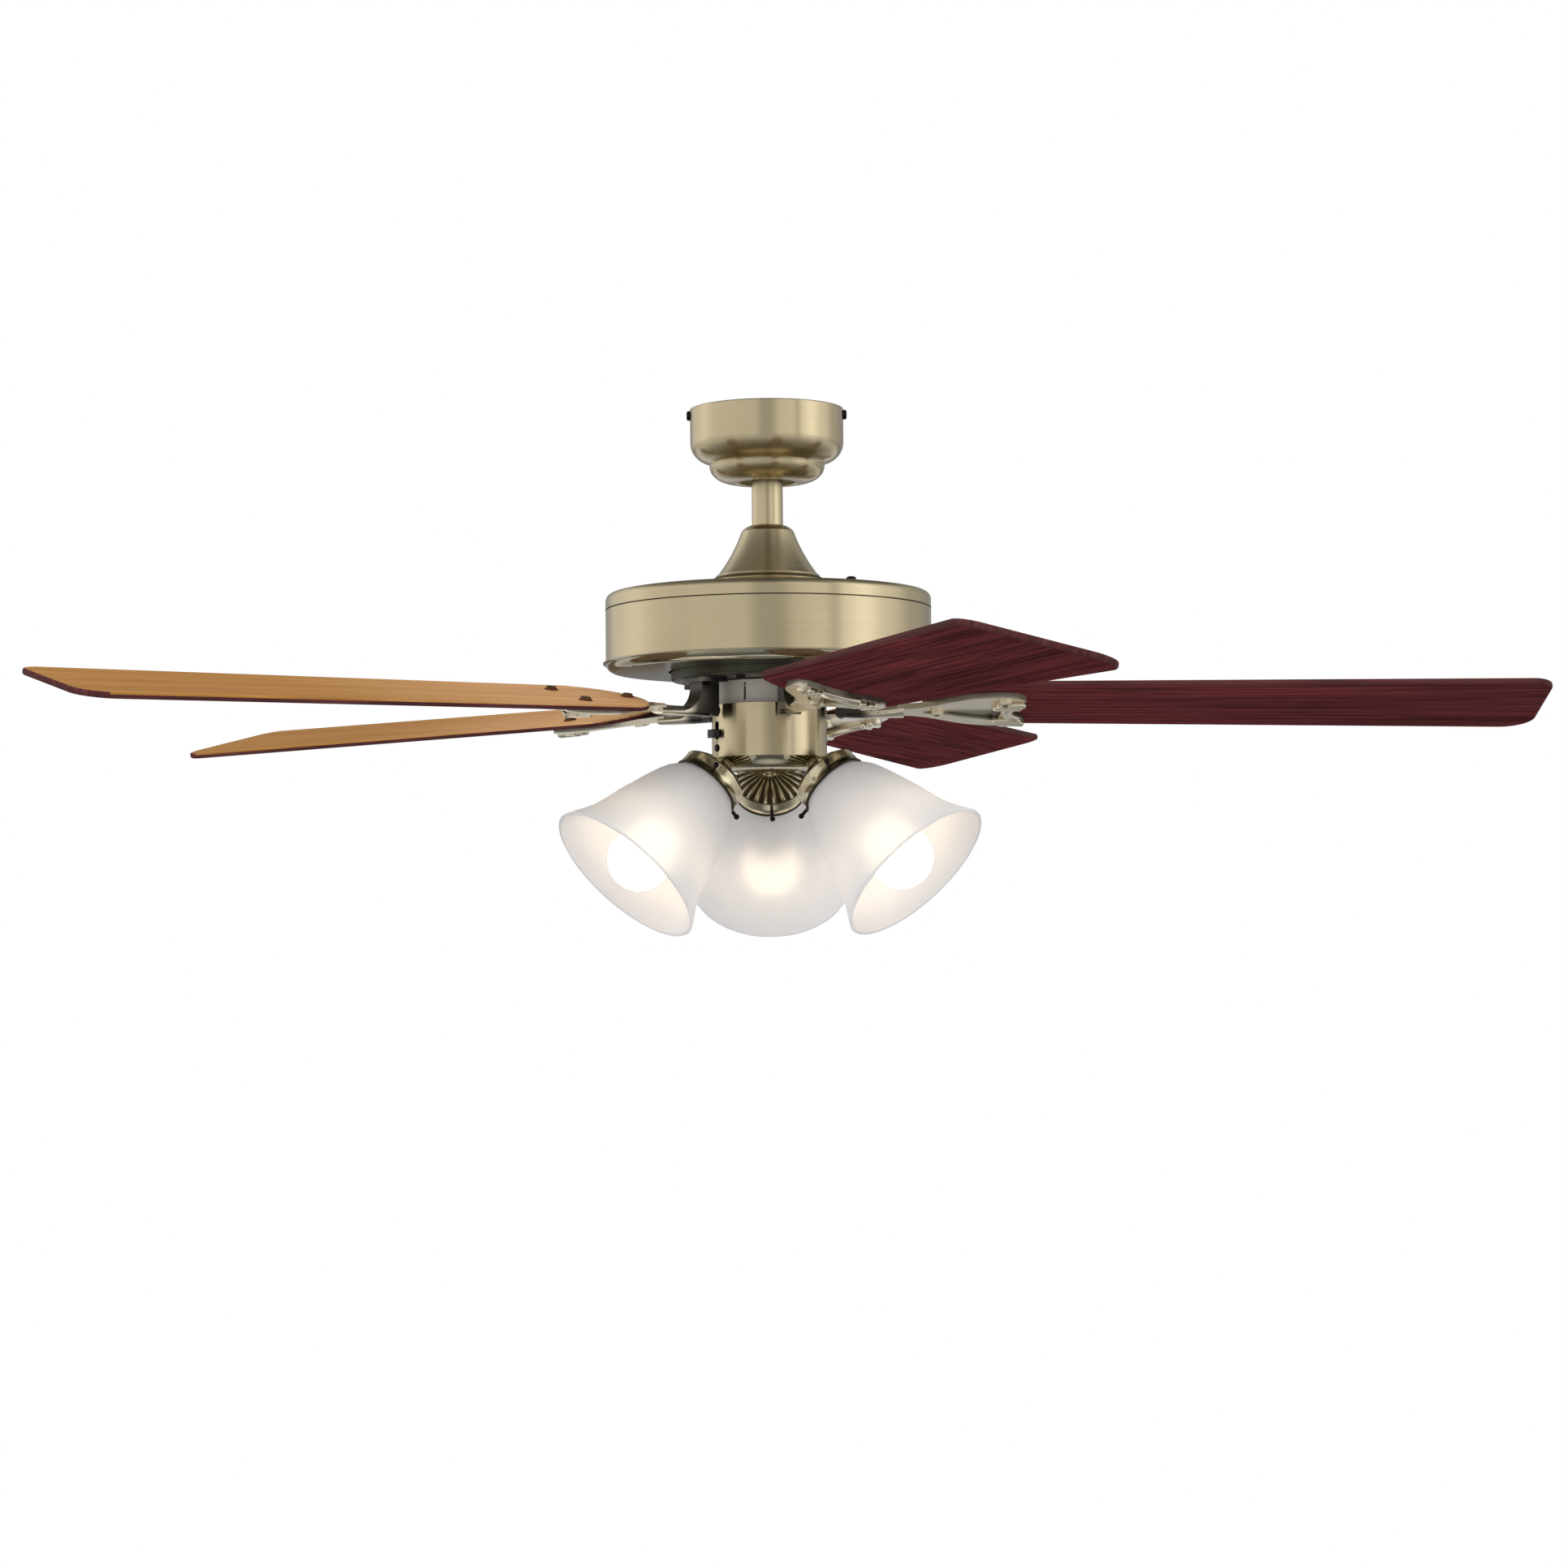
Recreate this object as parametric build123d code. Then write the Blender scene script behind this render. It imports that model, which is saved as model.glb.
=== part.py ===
from build123d import *
import os
from math import asin, cos, degrees, radians, sin, sqrt, tan

os.makedirs("parts", exist_ok=True)

# Five-blade ceiling fan with a three-lamp light kit. Millimetres, +Z up.
# The origin is on the fan's axis in the ceiling plane, so every height below it is negative.
# The two front lamps stand either side of -Y, and blade 1 lies nearly along +X.

# ---- Sheet, clearances and threads ----------------------------------------------------------
sheet = 1.2                 # pressed steel of the canopy, covers and housings
slip = 0.4                  # gap between covers and the pieces they slip over
screw_clearance = 0.1       # clearance hole over its pin or screw, on the radius
ball_clearance = 0.3        # between the hanger ball and its seat
air_gap = 0.6               # between stator and rotor

# ---- Ceiling bracket and canopy -------------------------------------------------------------
bracket_sheet = 2.5
bracket_width = 40.0
bracket_tab_width = 22.0
bracket_tab_drop = 13.0
bracket_leg_width = 28.0
box_screw_spacing = 89.0    # outlet box screws
box_slot_width = 5.0
box_slot_length = 14.0
wire_hole_radius = 10.0
seat_depth = 8.0            # height of the spherical seat
seat_gap_width = 31.0       # slot that lets the rod into the seat

canopy_radius = 65.9
canopy_skirt = 28.5         # straight part of the wide tier
canopy_tier_drop = 47.0     # ceiling to the step between the tiers
canopy_step_radius = 50.0
canopy_cove_width = 7.5
canopy_cove_height = 4.0
canopy_depth = 63.0
canopy_hole_radius = 24.0
canopy_screw_drop = 4.6
side_screw_radius = 2.0
side_screw_head = 4.2
side_screw_head_height = 3.0
side_screw_length = 8.5

# ---- Hanger ball, rod and coupling ----------------------------------------------------------
ball_radius = 29.0
ball_drop = 33.0            # ceiling to the centre of the ball
ball_top_cut = 16.0         # centre to the flat top
ball_bottom_cut = 22.0
rod_radius = 13.35
rod_wall = 1.8
rod_exposed = 37.0          # bare rod between canopy and coupling cover
pin_radius = 3.0
ball_pin_length = 44.0
clevis_pin_length = 46.0
set_screw_radius = 2.5

cover_height = 59.0
cover_shoulder_radius = 22.5
cover_shoulder_drop = 5.4
cover_base_radius = 56.0
cover_lip = 1.6
cover_waist_drop = 22.0     # top of the cover to the middle of its flare
cover_waist_widening = 7.2
cover_flare_drop = 41.0
cover_flare_inset = 14.4
cover_crown_inset = 3.2
cover_crown_drop = 2.4

coupling_radius = 20.0
coupling_above_lid = 47.0
coupling_flange_radius = 38.0
coupling_flange_thickness = 5.0
rod_insertion = 28.0
coupling_screw_circle = 31.0
shaft_thread_length = 20.0

# ---- Motor housing --------------------------------------------------------------------------
housing_radius = 139.5
housing_height = 66.8
lid_skirt = 13.7            # top plane to the groove under the rolled rim
lid_round = 6.0
groove = 0.8
wall_joggle = 7.0           # how far the wall reaches up inside the lid
base_ring_height = 8.3      # polished bottom pan below the wall
base_bead = 2.6             # how far the bead stands out from the wall
base_opening_clearance = 2.0
lid_screw_inset = 15.5      # edge of the lid to its screws
lid_screw_count = 3
lid_screw_angle = -56.2
housing_screw_radius = 2.0
housing_screw_head = 4.2
housing_screw_head_height = 3.4
housing_screw_length = 5.0
lid_tab_width = 14.0

# ---- Motor ----------------------------------------------------------------------------------
shaft_radius = 7.5
shaft_bore = 5.0
bearing_inner_radius = 10.6
bearing_gap = 0.3
bearing_outer_radius = 16.0
bearing_width = 10.0
stator_radius = 60.0
stator_height = 22.0
stator_slots = 12
stator_slot_width = 7.0
stator_slot_depth = 18.0
coil_radius = 44.0
coil_half_width = 10.0
coil_height = 8.0
cage_radius = 80.0
rotor_radius = 83.0
rotor_cover_height = 15.0
rotor_sheet = 3.0
rotor_vents = 10
rotor_vent_circle = 48.0
rotor_vent_length = 26.0
rotor_vent_width = 8.0
rotor_screw_circle = 70.0
hub_radius = 84.0
hub_height = 9.5
hub_rise = 1.3              # hub top above the bottom plane of the housing
hub_bore_radius = 30.0
hub_round = 3.0
machine_screw_radius = 2.2
machine_screw_head = 4.0
machine_screw_head_height = 2.5
machine_screw_engagement = 6.0

# ---- Blades ---------------------------------------------------------------------------------
blade_count = 5
blade_start = -1.7          # azimuth of blade 1, degrees
blade_plane_drop = 20.0     # hub underside to the middle plane of the blades
blade_pitch = 12.8
blade_droop = 0.4           # fall of the blades towards their tips, degrees
sweep_radius = 660.0
blade_thickness = 5.0
blade_lead_root = 58.0      # half width on the higher edge, at the root
blade_lead_tip = 60.7
blade_trail_root = 49.4
blade_trail_tip = 69.6
blade_root_radius = 131.0   # where the rounded root comes nearest the axis
blade_root_corner = 165.0
tip_round_trail = 28.0
tip_round_lead = 18.0
root_round = 6.0
blade_screw_radius = 2.4
blade_screw_head = 4.4
blade_screw_head_height = 2.2
blade_washer_radius = 5.6
blade_washer_thickness = 1.0
outer_screw_spread = 28.0   # outer blade screws either side of the middle line
outer_screw_inset = 18.0    # and back from the tips of the iron
inner_screw_inset = 12.5    # inner blade screw, from the root of the blade

# ---- Blade irons ----------------------------------------------------------------------------
iron_thickness = 5.0        # lobes and neck of the plate
iron_neck = 110.0           # where the plate begins under the arm
iron_neck_half_width = 9.5
iron_reach = 219.0          # fan axis to the tips of the lobes
iron_half_width = 39.5
iron_lobe_width = 20.0
iron_lobe_slant = 3.0       # inner corner of a lobe behind its tip
iron_hollow = 11.0          # how far the outer edge curves back between the lobes
iron_bar = 10.0             # bar between the pocket and that edge
iron_bar_depth = 4.0
iron_pocket_half_width = 25.0
iron_pocket_depth = 3.0     # pocket between the rails, open below
iron_pocket_round = 2.6
iron_rail_half_width = 6.2
iron_rail_depth = 5.8       # how far the rails stand below the plate
iron_ridge_radius = 3.0
iron_ridge_drop = 2.2       # centre line of a ridge below the plate
iron_ridge_length = 20.0
iron_ridges = 2             # ridges beside the rail on each lobe
iron_boss_radius = 6.4
iron_boss_depth = 3.0
iron_arm_half_width = 9.0
iron_arm_half_thickness = 4.2
iron_arm_end = 62.0
iron_arm_middle = 94.0
iron_collar_reach = 115.0   # flared end of the arm
iron_collar_half_width = 12.0
iron_scroll_radius = 5.2
iron_arm_sag = 2.4          # inner end of the arm below the middle of the plate
iron_foot_inner = 54.0
iron_foot_outer = 79.0
iron_foot_half_width = 21.0
iron_foot_thickness = 4.0
iron_foot_corner = 5.0
iron_heel_margin = 0.4      # heel wider than the arm on each side
iron_screw_reach = 67.0
iron_screw_spread = 15.0

# ---- Neck and switch housing ----------------------------------------------------------------
neck_gap = 1.0              # running gap under the turning hub
neck_radius = 43.0
neck_height = 20.2
neck_slots = 4
neck_slot_width = 2.0
neck_slot_height = 15.0
neck_slot_start = 61.5
switch_housing_radius = 49.2
switch_housing_height = 44.8
nut_thickness = 5.0
shaft_nut_radius = 12.0
switch_azimuth = 205.0
switch_middle_drop = 22.0   # top of the switch housing to the middle of the switch
switch_screw_spacing = 30.0
switch_slot_width = 7.0
switch_slot_height = 15.0
switch_travel = 5.6
knob_width = 12.0
knob_height = 7.0
knob_stand_out = 6.0
knob_neck_width = 5.0
switch_body_width = 13.0
switch_body_height = 22.0
switch_body_depth = 11.0
switch_plate_thickness = 1.5
switch_screw_radius = 1.3
switch_screw_head = 3.2
switch_screw_head_height = 1.4
switch_screw_clearance = 0.2
knob_gap = 0.4
capacitor_size = (34.0, 18.0, 26.0)
capacitor_offset = 22.0

# ---- Light kit ------------------------------------------------------------------------------
pan_depth = 11.5
pan_floor_radius = 31.0
pan_upstand = 3.5
pan_sheet = 1.5
pan_rim_inset = 2.6         # step on which the switch housing stands
stem_radius = 4.6
stem_wall = 1.4
stem_engagement = 8.0       # stem inside the motor shaft
stem_nut_radius = 7.0
stem_nut_thickness = 2.8
lamp_azimuths = (90.0, 210.0, 330.0)
lamp_tilt = 44.2            # lamp axis below the horizontal
holder_reach = 53.8         # fan axis to the holder's shoulder
holder_drop = 16.6          # bottom of the switch housing to the holder's shoulder
holder_radius = 30.0
holder_sheet = 1.1
holder_band = 13.0          # plain collar round the glass
holder_dome = 12.0
holder_flutes = 22
holder_flute_depth = 0.55
holder_bead = 1.1
boss_radius = 6.5
boss_face = 13.2            # holder's shoulder back to the face of the pan's boss
boss_length = 8.0
nipple_radius = 4.6
nipple_wall = 1.4
nipple_length = 11.0
nipple_nut_radius = 7.0
nipple_nut_thickness = 3.0
socket_radius = 17.5
socket_end = 30.0
socket_back = 5.0           # behind the holder's shoulder
socket_bore = 13.5
socket_floor = 3.0
bulb_base_radius = 13.2
bulb_radius = 26.5
bulb_centre = 102.0
bulb_neck = 24.0
bulb_seat_gap = 0.3
bulb_join = 0.88            # where the neck meets the globe, as a share of its radius
shade_neck_radius = 28.2
shade_start = 1.2
shade_rim_radius = 72.0
shade_end = 120.4
shade_wall = 2.6
thumb_screw_reach = 8.0
thumb_screw_radius = 1.5
thumb_screw_ball = 2.4
thumb_screw_length = 11.5
thumb_screw_turn = -3.0
thumb_screw_gap = 0.1       # tip to glass

# ---- Heights and reaches worked out from the sizes above ------------------------------------
ball_centre = -ball_drop
cover_top = -(canopy_depth + rod_exposed)
housing_top = cover_top - cover_height
lid_underside = housing_top - sheet
housing_bottom = housing_top - housing_height
lid_screw_circle = housing_radius - lid_screw_inset
wall_bottom = housing_bottom + base_ring_height
wall_shoulder = housing_top - lid_skirt - groove
coupling_top = housing_top + coupling_above_lid
coupling_bottom = lid_underside - coupling_flange_thickness
rod_bottom = coupling_top - rod_insertion
shaft_top = coupling_bottom + shaft_thread_length
clevis_height = coupling_top - 18.0
set_screw_height = coupling_top - 8.0
hub_top = housing_bottom + hub_rise
hub_bottom = hub_top - hub_height
rotor_low = hub_top
stator_low = rotor_low + rotor_cover_height - 1.0
cage_low = rotor_low + rotor_cover_height - 2.0
cage_high = stator_low + stator_height + 1.0
rotor_high = cage_high + rotor_cover_height - 2.0
blade_plane = hub_bottom - blade_plane_drop
neck_top = hub_bottom - neck_gap
neck_bottom = neck_top - neck_height
switch_top = neck_bottom
switch_bottom = switch_top - switch_housing_height
shaft_nut_top = switch_top - sheet
shaft_bottom = shaft_nut_top - nut_thickness - 1.0
pan_bottom = switch_bottom - pan_depth
switch_middle = switch_top - switch_middle_drop
holder_height = switch_bottom - holder_drop

inner_screw_reach = blade_root_radius + inner_screw_inset
outer_screw_reach = iron_reach - outer_screw_inset
plate_top = -blade_thickness / 2
plate_bottom = plate_top - iron_thickness

# Blade 1's own frame: X out along the board, Z square to it.
blade_frame = Pos(0, 0, blade_plane) * Rot(0, blade_droop, 0) * Rot(-blade_pitch, 0, 0)


# ---- Small helpers --------------------------------------------------------------------------
def tube(outer, inner, low, high):
    """Ring on the fan's axis between two heights."""
    ring = Circle(outer)
    if inner > 0:
        ring = ring - Circle(inner)
    return Pos(0, 0, low) * extrude(ring, high - low)


def turned(*edges):
    """Solid of revolution about Z from edges drawn as (radius, height)."""
    outline = edges[0]
    for edge in edges[1:]:
        outline = outline + edge
    return revolve(Plane.XZ * make_face(outline), Axis.Z)


def turned_polygon(*points):
    return turned(Polyline(*points, close=True))


def around(shape, count, start=0.0):
    """Copies of a shape spread evenly round the fan's axis."""
    return [Rot(0, 0, start + 360.0 * step / count) * shape for step in range(count)]


def cross_bar(radius, length, height):
    """Rod lying along X through the fan's axis."""
    return Pos(-length / 2, 0, height) * Rot(0, 90, 0) * extrude(Circle(radius), length)


def radial_rod(radius, start, end, height):
    """Rod lying along +X between two distances from the axis."""
    return Pos(start, 0, height) * Rot(0, 90, 0) * extrude(Circle(radius), end - start)


def group(shapes):
    return Compound(children=list(shapes))


def pan_head_screw(shank, head, head_height, length):
    """Screw standing head up, with the underside of its head at the local origin."""
    cap = extrude(Circle(head), head_height)
    cap = fillet(cap.edges().filter_by(GeomType.CIRCLE).sort_by(Axis.Z)[-1], head_height * 0.6)
    return cap + Pos(0, 0, -length) * extrude(Circle(shank), length)


# ---- Ceiling bracket and canopy -------------------------------------------------------------
def canopy_inner_radius():
    return canopy_radius - sheet


def make_hanger_bracket():
    tab_radius = canopy_inner_radius() - slip
    disc = Circle(tab_radius) & Rectangle(3 * tab_radius, bracket_width)
    plate = Pos(0, 0, -bracket_sheet) * extrude(disc, bracket_sheet)
    tabs = tube(tab_radius, tab_radius - bracket_sheet, -bracket_tab_drop, 0)
    tabs = tabs & Box(3 * tab_radius, bracket_tab_width, 3 * bracket_tab_drop)
    leg_inner = ball_radius + ball_clearance + 2.7
    leg_outer = leg_inner + bracket_sheet
    seat_top = ball_centre - seat_depth
    seat_bottom = seat_top - seat_depth
    seat = turned_polygon(
        (ball_radius * 0.6, seat_top), (leg_outer, seat_top),
        (leg_outer, seat_top - bracket_sheet), (ball_radius - 1.0, seat_bottom),
        (ball_radius * 0.6, seat_bottom))
    seat = seat - Pos(0, 0, ball_centre) * Sphere(ball_radius + ball_clearance)
    seat = seat - Pos(0, -leg_outer, seat_top) * Box(seat_gap_width, 2 * leg_outer, 4 * seat_depth)
    bracket = plate + tabs + seat
    for side in (-1, 1):
        middle = side * (leg_inner + leg_outer) / 2
        leg_height = -seat_top + bracket_sheet
        leg = Pos(middle, 0, -leg_height / 2) * Box(bracket_sheet, bracket_leg_width, leg_height)
        slot = SlotOverall(box_slot_length, box_slot_width)
        bracket = bracket + leg
        bracket = bracket - Pos(side * box_screw_spacing / 2, 0, -2 * bracket_sheet) * extrude(
            slot, 3 * bracket_sheet)
    bracket = bracket - tube(wire_hole_radius, 0, -2 * bracket_sheet, bracket_sheet)
    return bracket - cross_bar(side_screw_radius, 3 * canopy_radius, -canopy_screw_drop)


def canopy_profile():
    """Outside of the two-tier canopy, from the ceiling to the rod hole."""
    tier_edge = canopy_step_radius + canopy_cove_width
    skirt = Line((canopy_radius, 0), (canopy_radius, -canopy_skirt))
    shoulder = ThreePointArc((canopy_radius, -canopy_skirt),
                             (canopy_radius - 2.6, -canopy_skirt - 6.0),
                             (tier_edge, -canopy_tier_drop + canopy_cove_height))
    cove = Line((tier_edge, -canopy_tier_drop + canopy_cove_height),
                (canopy_step_radius, -canopy_tier_drop))
    step = Line((canopy_step_radius, -canopy_tier_drop),
                (canopy_step_radius - 0.6, -canopy_tier_drop - 2.0))
    cup = ThreePointArc((canopy_step_radius - 0.6, -canopy_tier_drop - 2.0),
                        (canopy_step_radius - 5.0, -canopy_depth + 7.5),
                        (canopy_step_radius - 14.0, -canopy_depth + 1.6))
    floor = Line((canopy_step_radius - 14.0, -canopy_depth + 1.6),
                 (canopy_hole_radius, -canopy_depth))
    return skirt + shoulder + cove + step + cup + floor


def make_canopy():
    outline = offset(canopy_profile(), sheet, side=Side.RIGHT, closed=True)
    shell = revolve(Plane.XZ * make_face(outline), Axis.Z)
    return shell - cross_bar(side_screw_radius + screw_clearance, 3 * canopy_radius,
                             -canopy_screw_drop)


def make_canopy_screws():
    screw = pan_head_screw(side_screw_radius, side_screw_head, side_screw_head_height,
                           side_screw_length)
    lying = Pos(canopy_radius, 0, -canopy_screw_drop) * Rot(0, 90, 0) * screw
    return group(around(lying, 2))


# ---- Hanging rod ----------------------------------------------------------------------------
def ball_pin_height():
    return ball_centre + ball_top_cut - pin_radius - 1.0


def make_hanger_ball():
    ball = Pos(0, 0, ball_centre) * Sphere(ball_radius)
    keep = tube(2 * ball_radius, 0, ball_centre - ball_bottom_cut, ball_centre + ball_top_cut)
    ball = (ball & keep) - tube(rod_radius, 0, -2 * ball_drop, 0)
    groove_depth = ball_centre + ball_top_cut - ball_pin_height() + pin_radius
    groove_box = Box(3 * ball_radius, 2 * pin_radius, groove_depth)
    ball = ball - Pos(0, 0, ball_centre + ball_top_cut - groove_depth / 2) * groove_box
    return ball - ball_screw_rod()


def ball_screw_rod():
    height = ball_centre - 6.0
    end = sqrt(ball_radius ** 2 - 6.0 ** 2) - 2.5
    return Rot(0, 0, 90) * radial_rod(set_screw_radius, rod_radius, end, height)


def make_ball_pin():
    return cross_bar(pin_radius, ball_pin_length, ball_pin_height())


def make_downrod():
    rod = tube(rod_radius, rod_radius - rod_wall, rod_bottom, ball_centre + ball_top_cut)
    rod = rod - cross_bar(pin_radius, 4 * rod_radius, ball_pin_height())
    return rod - cross_bar(pin_radius + screw_clearance, 4 * rod_radius, clevis_height)


def make_motor_coupling():
    body = tube(coupling_radius, 0, coupling_bottom, coupling_top)
    body = body + tube(coupling_flange_radius, 0, coupling_bottom, lid_underside)
    body = body - tube(rod_radius + screw_clearance, 0, rod_bottom, coupling_top + 1)
    body = body - tube(shaft_radius, 0, coupling_bottom - 1, shaft_top)
    body = body - tube(shaft_bore, 0, shaft_top, rod_bottom)
    body = body - cross_bar(pin_radius + screw_clearance, 4 * coupling_radius, clevis_height)
    body = body - Rot(0, 0, 90) * cross_bar(set_screw_radius, 4 * coupling_radius,
                                            set_screw_height)
    for hole in around(Pos(coupling_screw_circle, 0, 0) * tube(
            housing_screw_radius, 0, coupling_bottom - 1, lid_underside + 1), lid_screw_count):
        body = body - hole
    return chamfer(body.edges().group_by(Axis.Z)[-1].sort_by(SortBy.LENGTH)[-1], 2.0)


def make_clevis_pin():
    pin = cross_bar(pin_radius, clevis_pin_length, clevis_height)
    head = radial_rod(pin_radius + 1.6, clevis_pin_length / 2 - 2.0, clevis_pin_length / 2,
                      clevis_height)
    eye = Pos(-clevis_pin_length / 2 + 1.6, 0, 0) * tube(0.9, 0, clevis_height - 9,
                                                        clevis_height + 9)
    return pin + head - eye


def make_hairpin_clip():
    """Wire clip through the eye of the clevis pin, bent back round its end."""
    reach = clevis_pin_length / 2 - 1.6
    wire = 0.8
    straight = Line((-reach, 0, clevis_height + 8), (-reach, 0, clevis_height - 8))
    bend = ThreePointArc((-reach, 0, clevis_height - 8), (-reach - 3.0, 0, clevis_height - 11),
                         (-reach - 6.0, 0, clevis_height - 8))
    back = Line((-reach - 6.0, 0, clevis_height - 8), (-reach - 6.0, 0, clevis_height + 5))
    path = straight + bend + back
    start = Plane(origin=path @ 0, z_dir=path % 0)
    return sweep(start * Circle(wire), path=path)


def make_set_screws():
    side = Rot(0, 0, 90) * radial_rod(set_screw_radius, rod_radius + 0.05,
                                      coupling_radius + 2.0, set_screw_height)
    other = Rot(0, 0, 180) * side
    return group([ball_screw_rod(), side, other])


def cover_line(inset):
    """Side of the flared coupling cover, drawn a given distance inside its outer face."""
    crown_height = cover_top - inset
    shoulder = cover_shoulder_radius - inset
    shoulder_height = cover_top - cover_shoulder_drop
    base = housing_top + cover_lip
    crown_middle = (shoulder - cover_crown_inset, crown_height - cover_crown_drop)
    crown = ThreePointArc((rod_radius + slip, crown_height), crown_middle,
                          (shoulder, shoulder_height))
    flare = Spline((shoulder, shoulder_height),
                   (shoulder + cover_waist_widening, cover_top - cover_waist_drop),
                   (cover_base_radius - cover_flare_inset - inset, cover_top - cover_flare_drop),
                   (cover_base_radius - inset, base))
    lip = Line((cover_base_radius - inset, base), (cover_base_radius - inset, housing_top))
    return crown + flare + lip


def make_coupling_cover():
    """Flared cover over the coupling, standing on the housing lid."""
    hole = rod_radius + slip
    return turned(
        cover_line(0.0), cover_line(sheet),
        Line((hole, cover_top), (hole, cover_top - sheet)),
        Line((cover_base_radius, housing_top), (cover_base_radius - sheet, housing_top)))


# ---- Motor housing --------------------------------------------------------------------------
def lid_screw_holes(low, high):
    hole = Pos(lid_screw_circle, 0, 0) * tube(housing_screw_radius, 0, low, high)
    return around(hole, lid_screw_count, lid_screw_angle)


def lid_hollow():
    """Space inside the rolled lid."""
    hollow = tube(housing_radius - sheet, 0, housing_top - lid_skirt - 1, lid_underside)
    return fillet(hollow.edges().group_by(Axis.Z)[-1], lid_round - sheet)


def make_housing_top():
    shell = tube(housing_radius, 0, housing_top - lid_skirt, housing_top)
    shell = fillet(shell.edges().group_by(Axis.Z)[-1], lid_round)
    shell = shell - lid_hollow()
    shell = shell - tube(coupling_radius + slip, 0, lid_underside - 1, housing_top + 1)
    for hole in lid_screw_holes(lid_underside - 1, housing_top + 1):
        shell = shell - hole
    coupling_hole = Pos(coupling_screw_circle, 0, 0) * tube(
        housing_screw_radius, 0, lid_underside - 1, housing_top + 1)
    for hole in around(coupling_hole, lid_screw_count):
        shell = shell - hole
    return shell


def make_housing_wall():
    """Drum wall with a joggled top and three tabs that take the lid screws."""
    inner = housing_radius - sheet
    band = tube(housing_radius, inner, wall_bottom, wall_shoulder)
    joggle = tube(inner, inner - sheet, wall_shoulder - sheet, wall_shoulder + wall_joggle)
    wall = band + joggle
    tab_start = lid_screw_circle - lid_tab_width / 2
    tab_end = inner - sheet + 0.4
    tab_length = tab_end - tab_start
    leg_height = lid_underside - wall_shoulder
    tab = Pos((tab_start + tab_end) / 2, 0, lid_underside - 1) * Box(tab_length, lid_tab_width, 2)
    leg = Pos(tab_end - 2, 0, lid_underside - leg_height / 2) * Box(4, lid_tab_width, leg_height)
    bracket = (tab + leg) & lid_hollow()
    for piece in around(bracket, lid_screw_count, lid_screw_angle):
        wall = wall + piece
    for hole in lid_screw_holes(lid_underside - 5, housing_top):
        wall = wall - hole
    return wall


def make_housing_bottom():
    """Polished bottom pan: upstand in the wall, bead, rolled edge and a wide opening."""
    seat = housing_radius - sheet
    bead_radius = housing_radius + base_bead - 0.9
    bead_low = wall_bottom - 1.8
    floor_edge = housing_radius - 8.0
    opening = hub_radius + base_opening_clearance
    inside = housing_bottom + sheet
    return turned(
        Line((seat - sheet, wall_bottom + 6), (seat, wall_bottom + 6)),
        Line((seat, wall_bottom + 6), (seat, wall_bottom)),
        Line((seat, wall_bottom), (bead_radius, wall_bottom)),
        ThreePointArc((bead_radius, wall_bottom), (bead_radius + 0.9, wall_bottom - 0.9),
                      (bead_radius, bead_low)),
        Line((bead_radius, bead_low), (housing_radius, bead_low)),
        ThreePointArc((housing_radius, bead_low),
                      (housing_radius - 2.4, housing_bottom + 2.0),
                      (floor_edge, housing_bottom)),
        Line((floor_edge, housing_bottom), (opening, housing_bottom)),
        Line((opening, housing_bottom), (opening, inside)),
        Line((opening, inside), (floor_edge, inside)),
        ThreePointArc((floor_edge, inside),
                      (housing_radius - 3.7, housing_bottom + 3.0),
                      (seat - sheet, bead_low)),
        Line((seat - sheet, bead_low), (seat - sheet, wall_bottom + 6)))


def make_housing_screws():
    """Three screws hold the lid to the wall, three hold it to the coupling flange."""
    screw = pan_head_screw(housing_screw_radius, housing_screw_head, housing_screw_head_height,
                           housing_screw_length)
    rim = around(Pos(lid_screw_circle, 0, housing_top) * screw, lid_screw_count, lid_screw_angle)
    middle = around(Pos(coupling_screw_circle, 0, housing_top) * screw, lid_screw_count)
    return group(rim + middle)


# ---- Motor ----------------------------------------------------------------------------------
def make_motor_shaft():
    return tube(shaft_radius, shaft_bore, shaft_bottom, shaft_top)


def bearing_heights():
    """Lower ends of the two bearings."""
    return (rotor_low + 0.5, rotor_high - bearing_width - 0.5)


def make_bearing_rings(outer, inner):
    return group(tube(outer, inner, low, low + bearing_width) for low in bearing_heights())


def make_stator_core():
    core = tube(stator_radius, shaft_radius, stator_low, stator_low + stator_height)
    reach = stator_radius - stator_slot_depth / 2
    height = stator_low + stator_height / 2
    slot = Pos(reach, 0, height) * Box(stator_slot_depth + 0.02, stator_slot_width,
                                       stator_height + 2)
    mouth = Pos(stator_radius, 0, height) * Box(8, 2.4, stator_height + 2)
    slot = Pos(-3.0, 0, 0) * slot + mouth
    for cut in around(slot, stator_slots):
        core = core - cut
    return core


def make_stator_windings():
    """Coil heads above and below the core, joined through its slots."""
    inner = coil_radius - coil_half_width
    outer = coil_radius + coil_half_width
    lower = tube(outer, inner, stator_low - coil_height, stator_low)
    upper = tube(outer, inner, stator_low + stator_height, stator_low + stator_height + coil_height)
    lower = fillet(lower.edges().group_by(Axis.Z)[0], 3.5)
    upper = fillet(upper.edges().group_by(Axis.Z)[-1], 3.5)
    bar_length = outer - (stator_radius - stator_slot_depth - 3.0)
    middle = outer - bar_length / 2
    bar = Pos(middle, 0, stator_low + stator_height / 2) * Box(
        bar_length, stator_slot_width - 1.0, stator_height)
    windings = lower + upper
    for coil in around(bar, stator_slots):
        windings = windings + coil
    return windings


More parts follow.
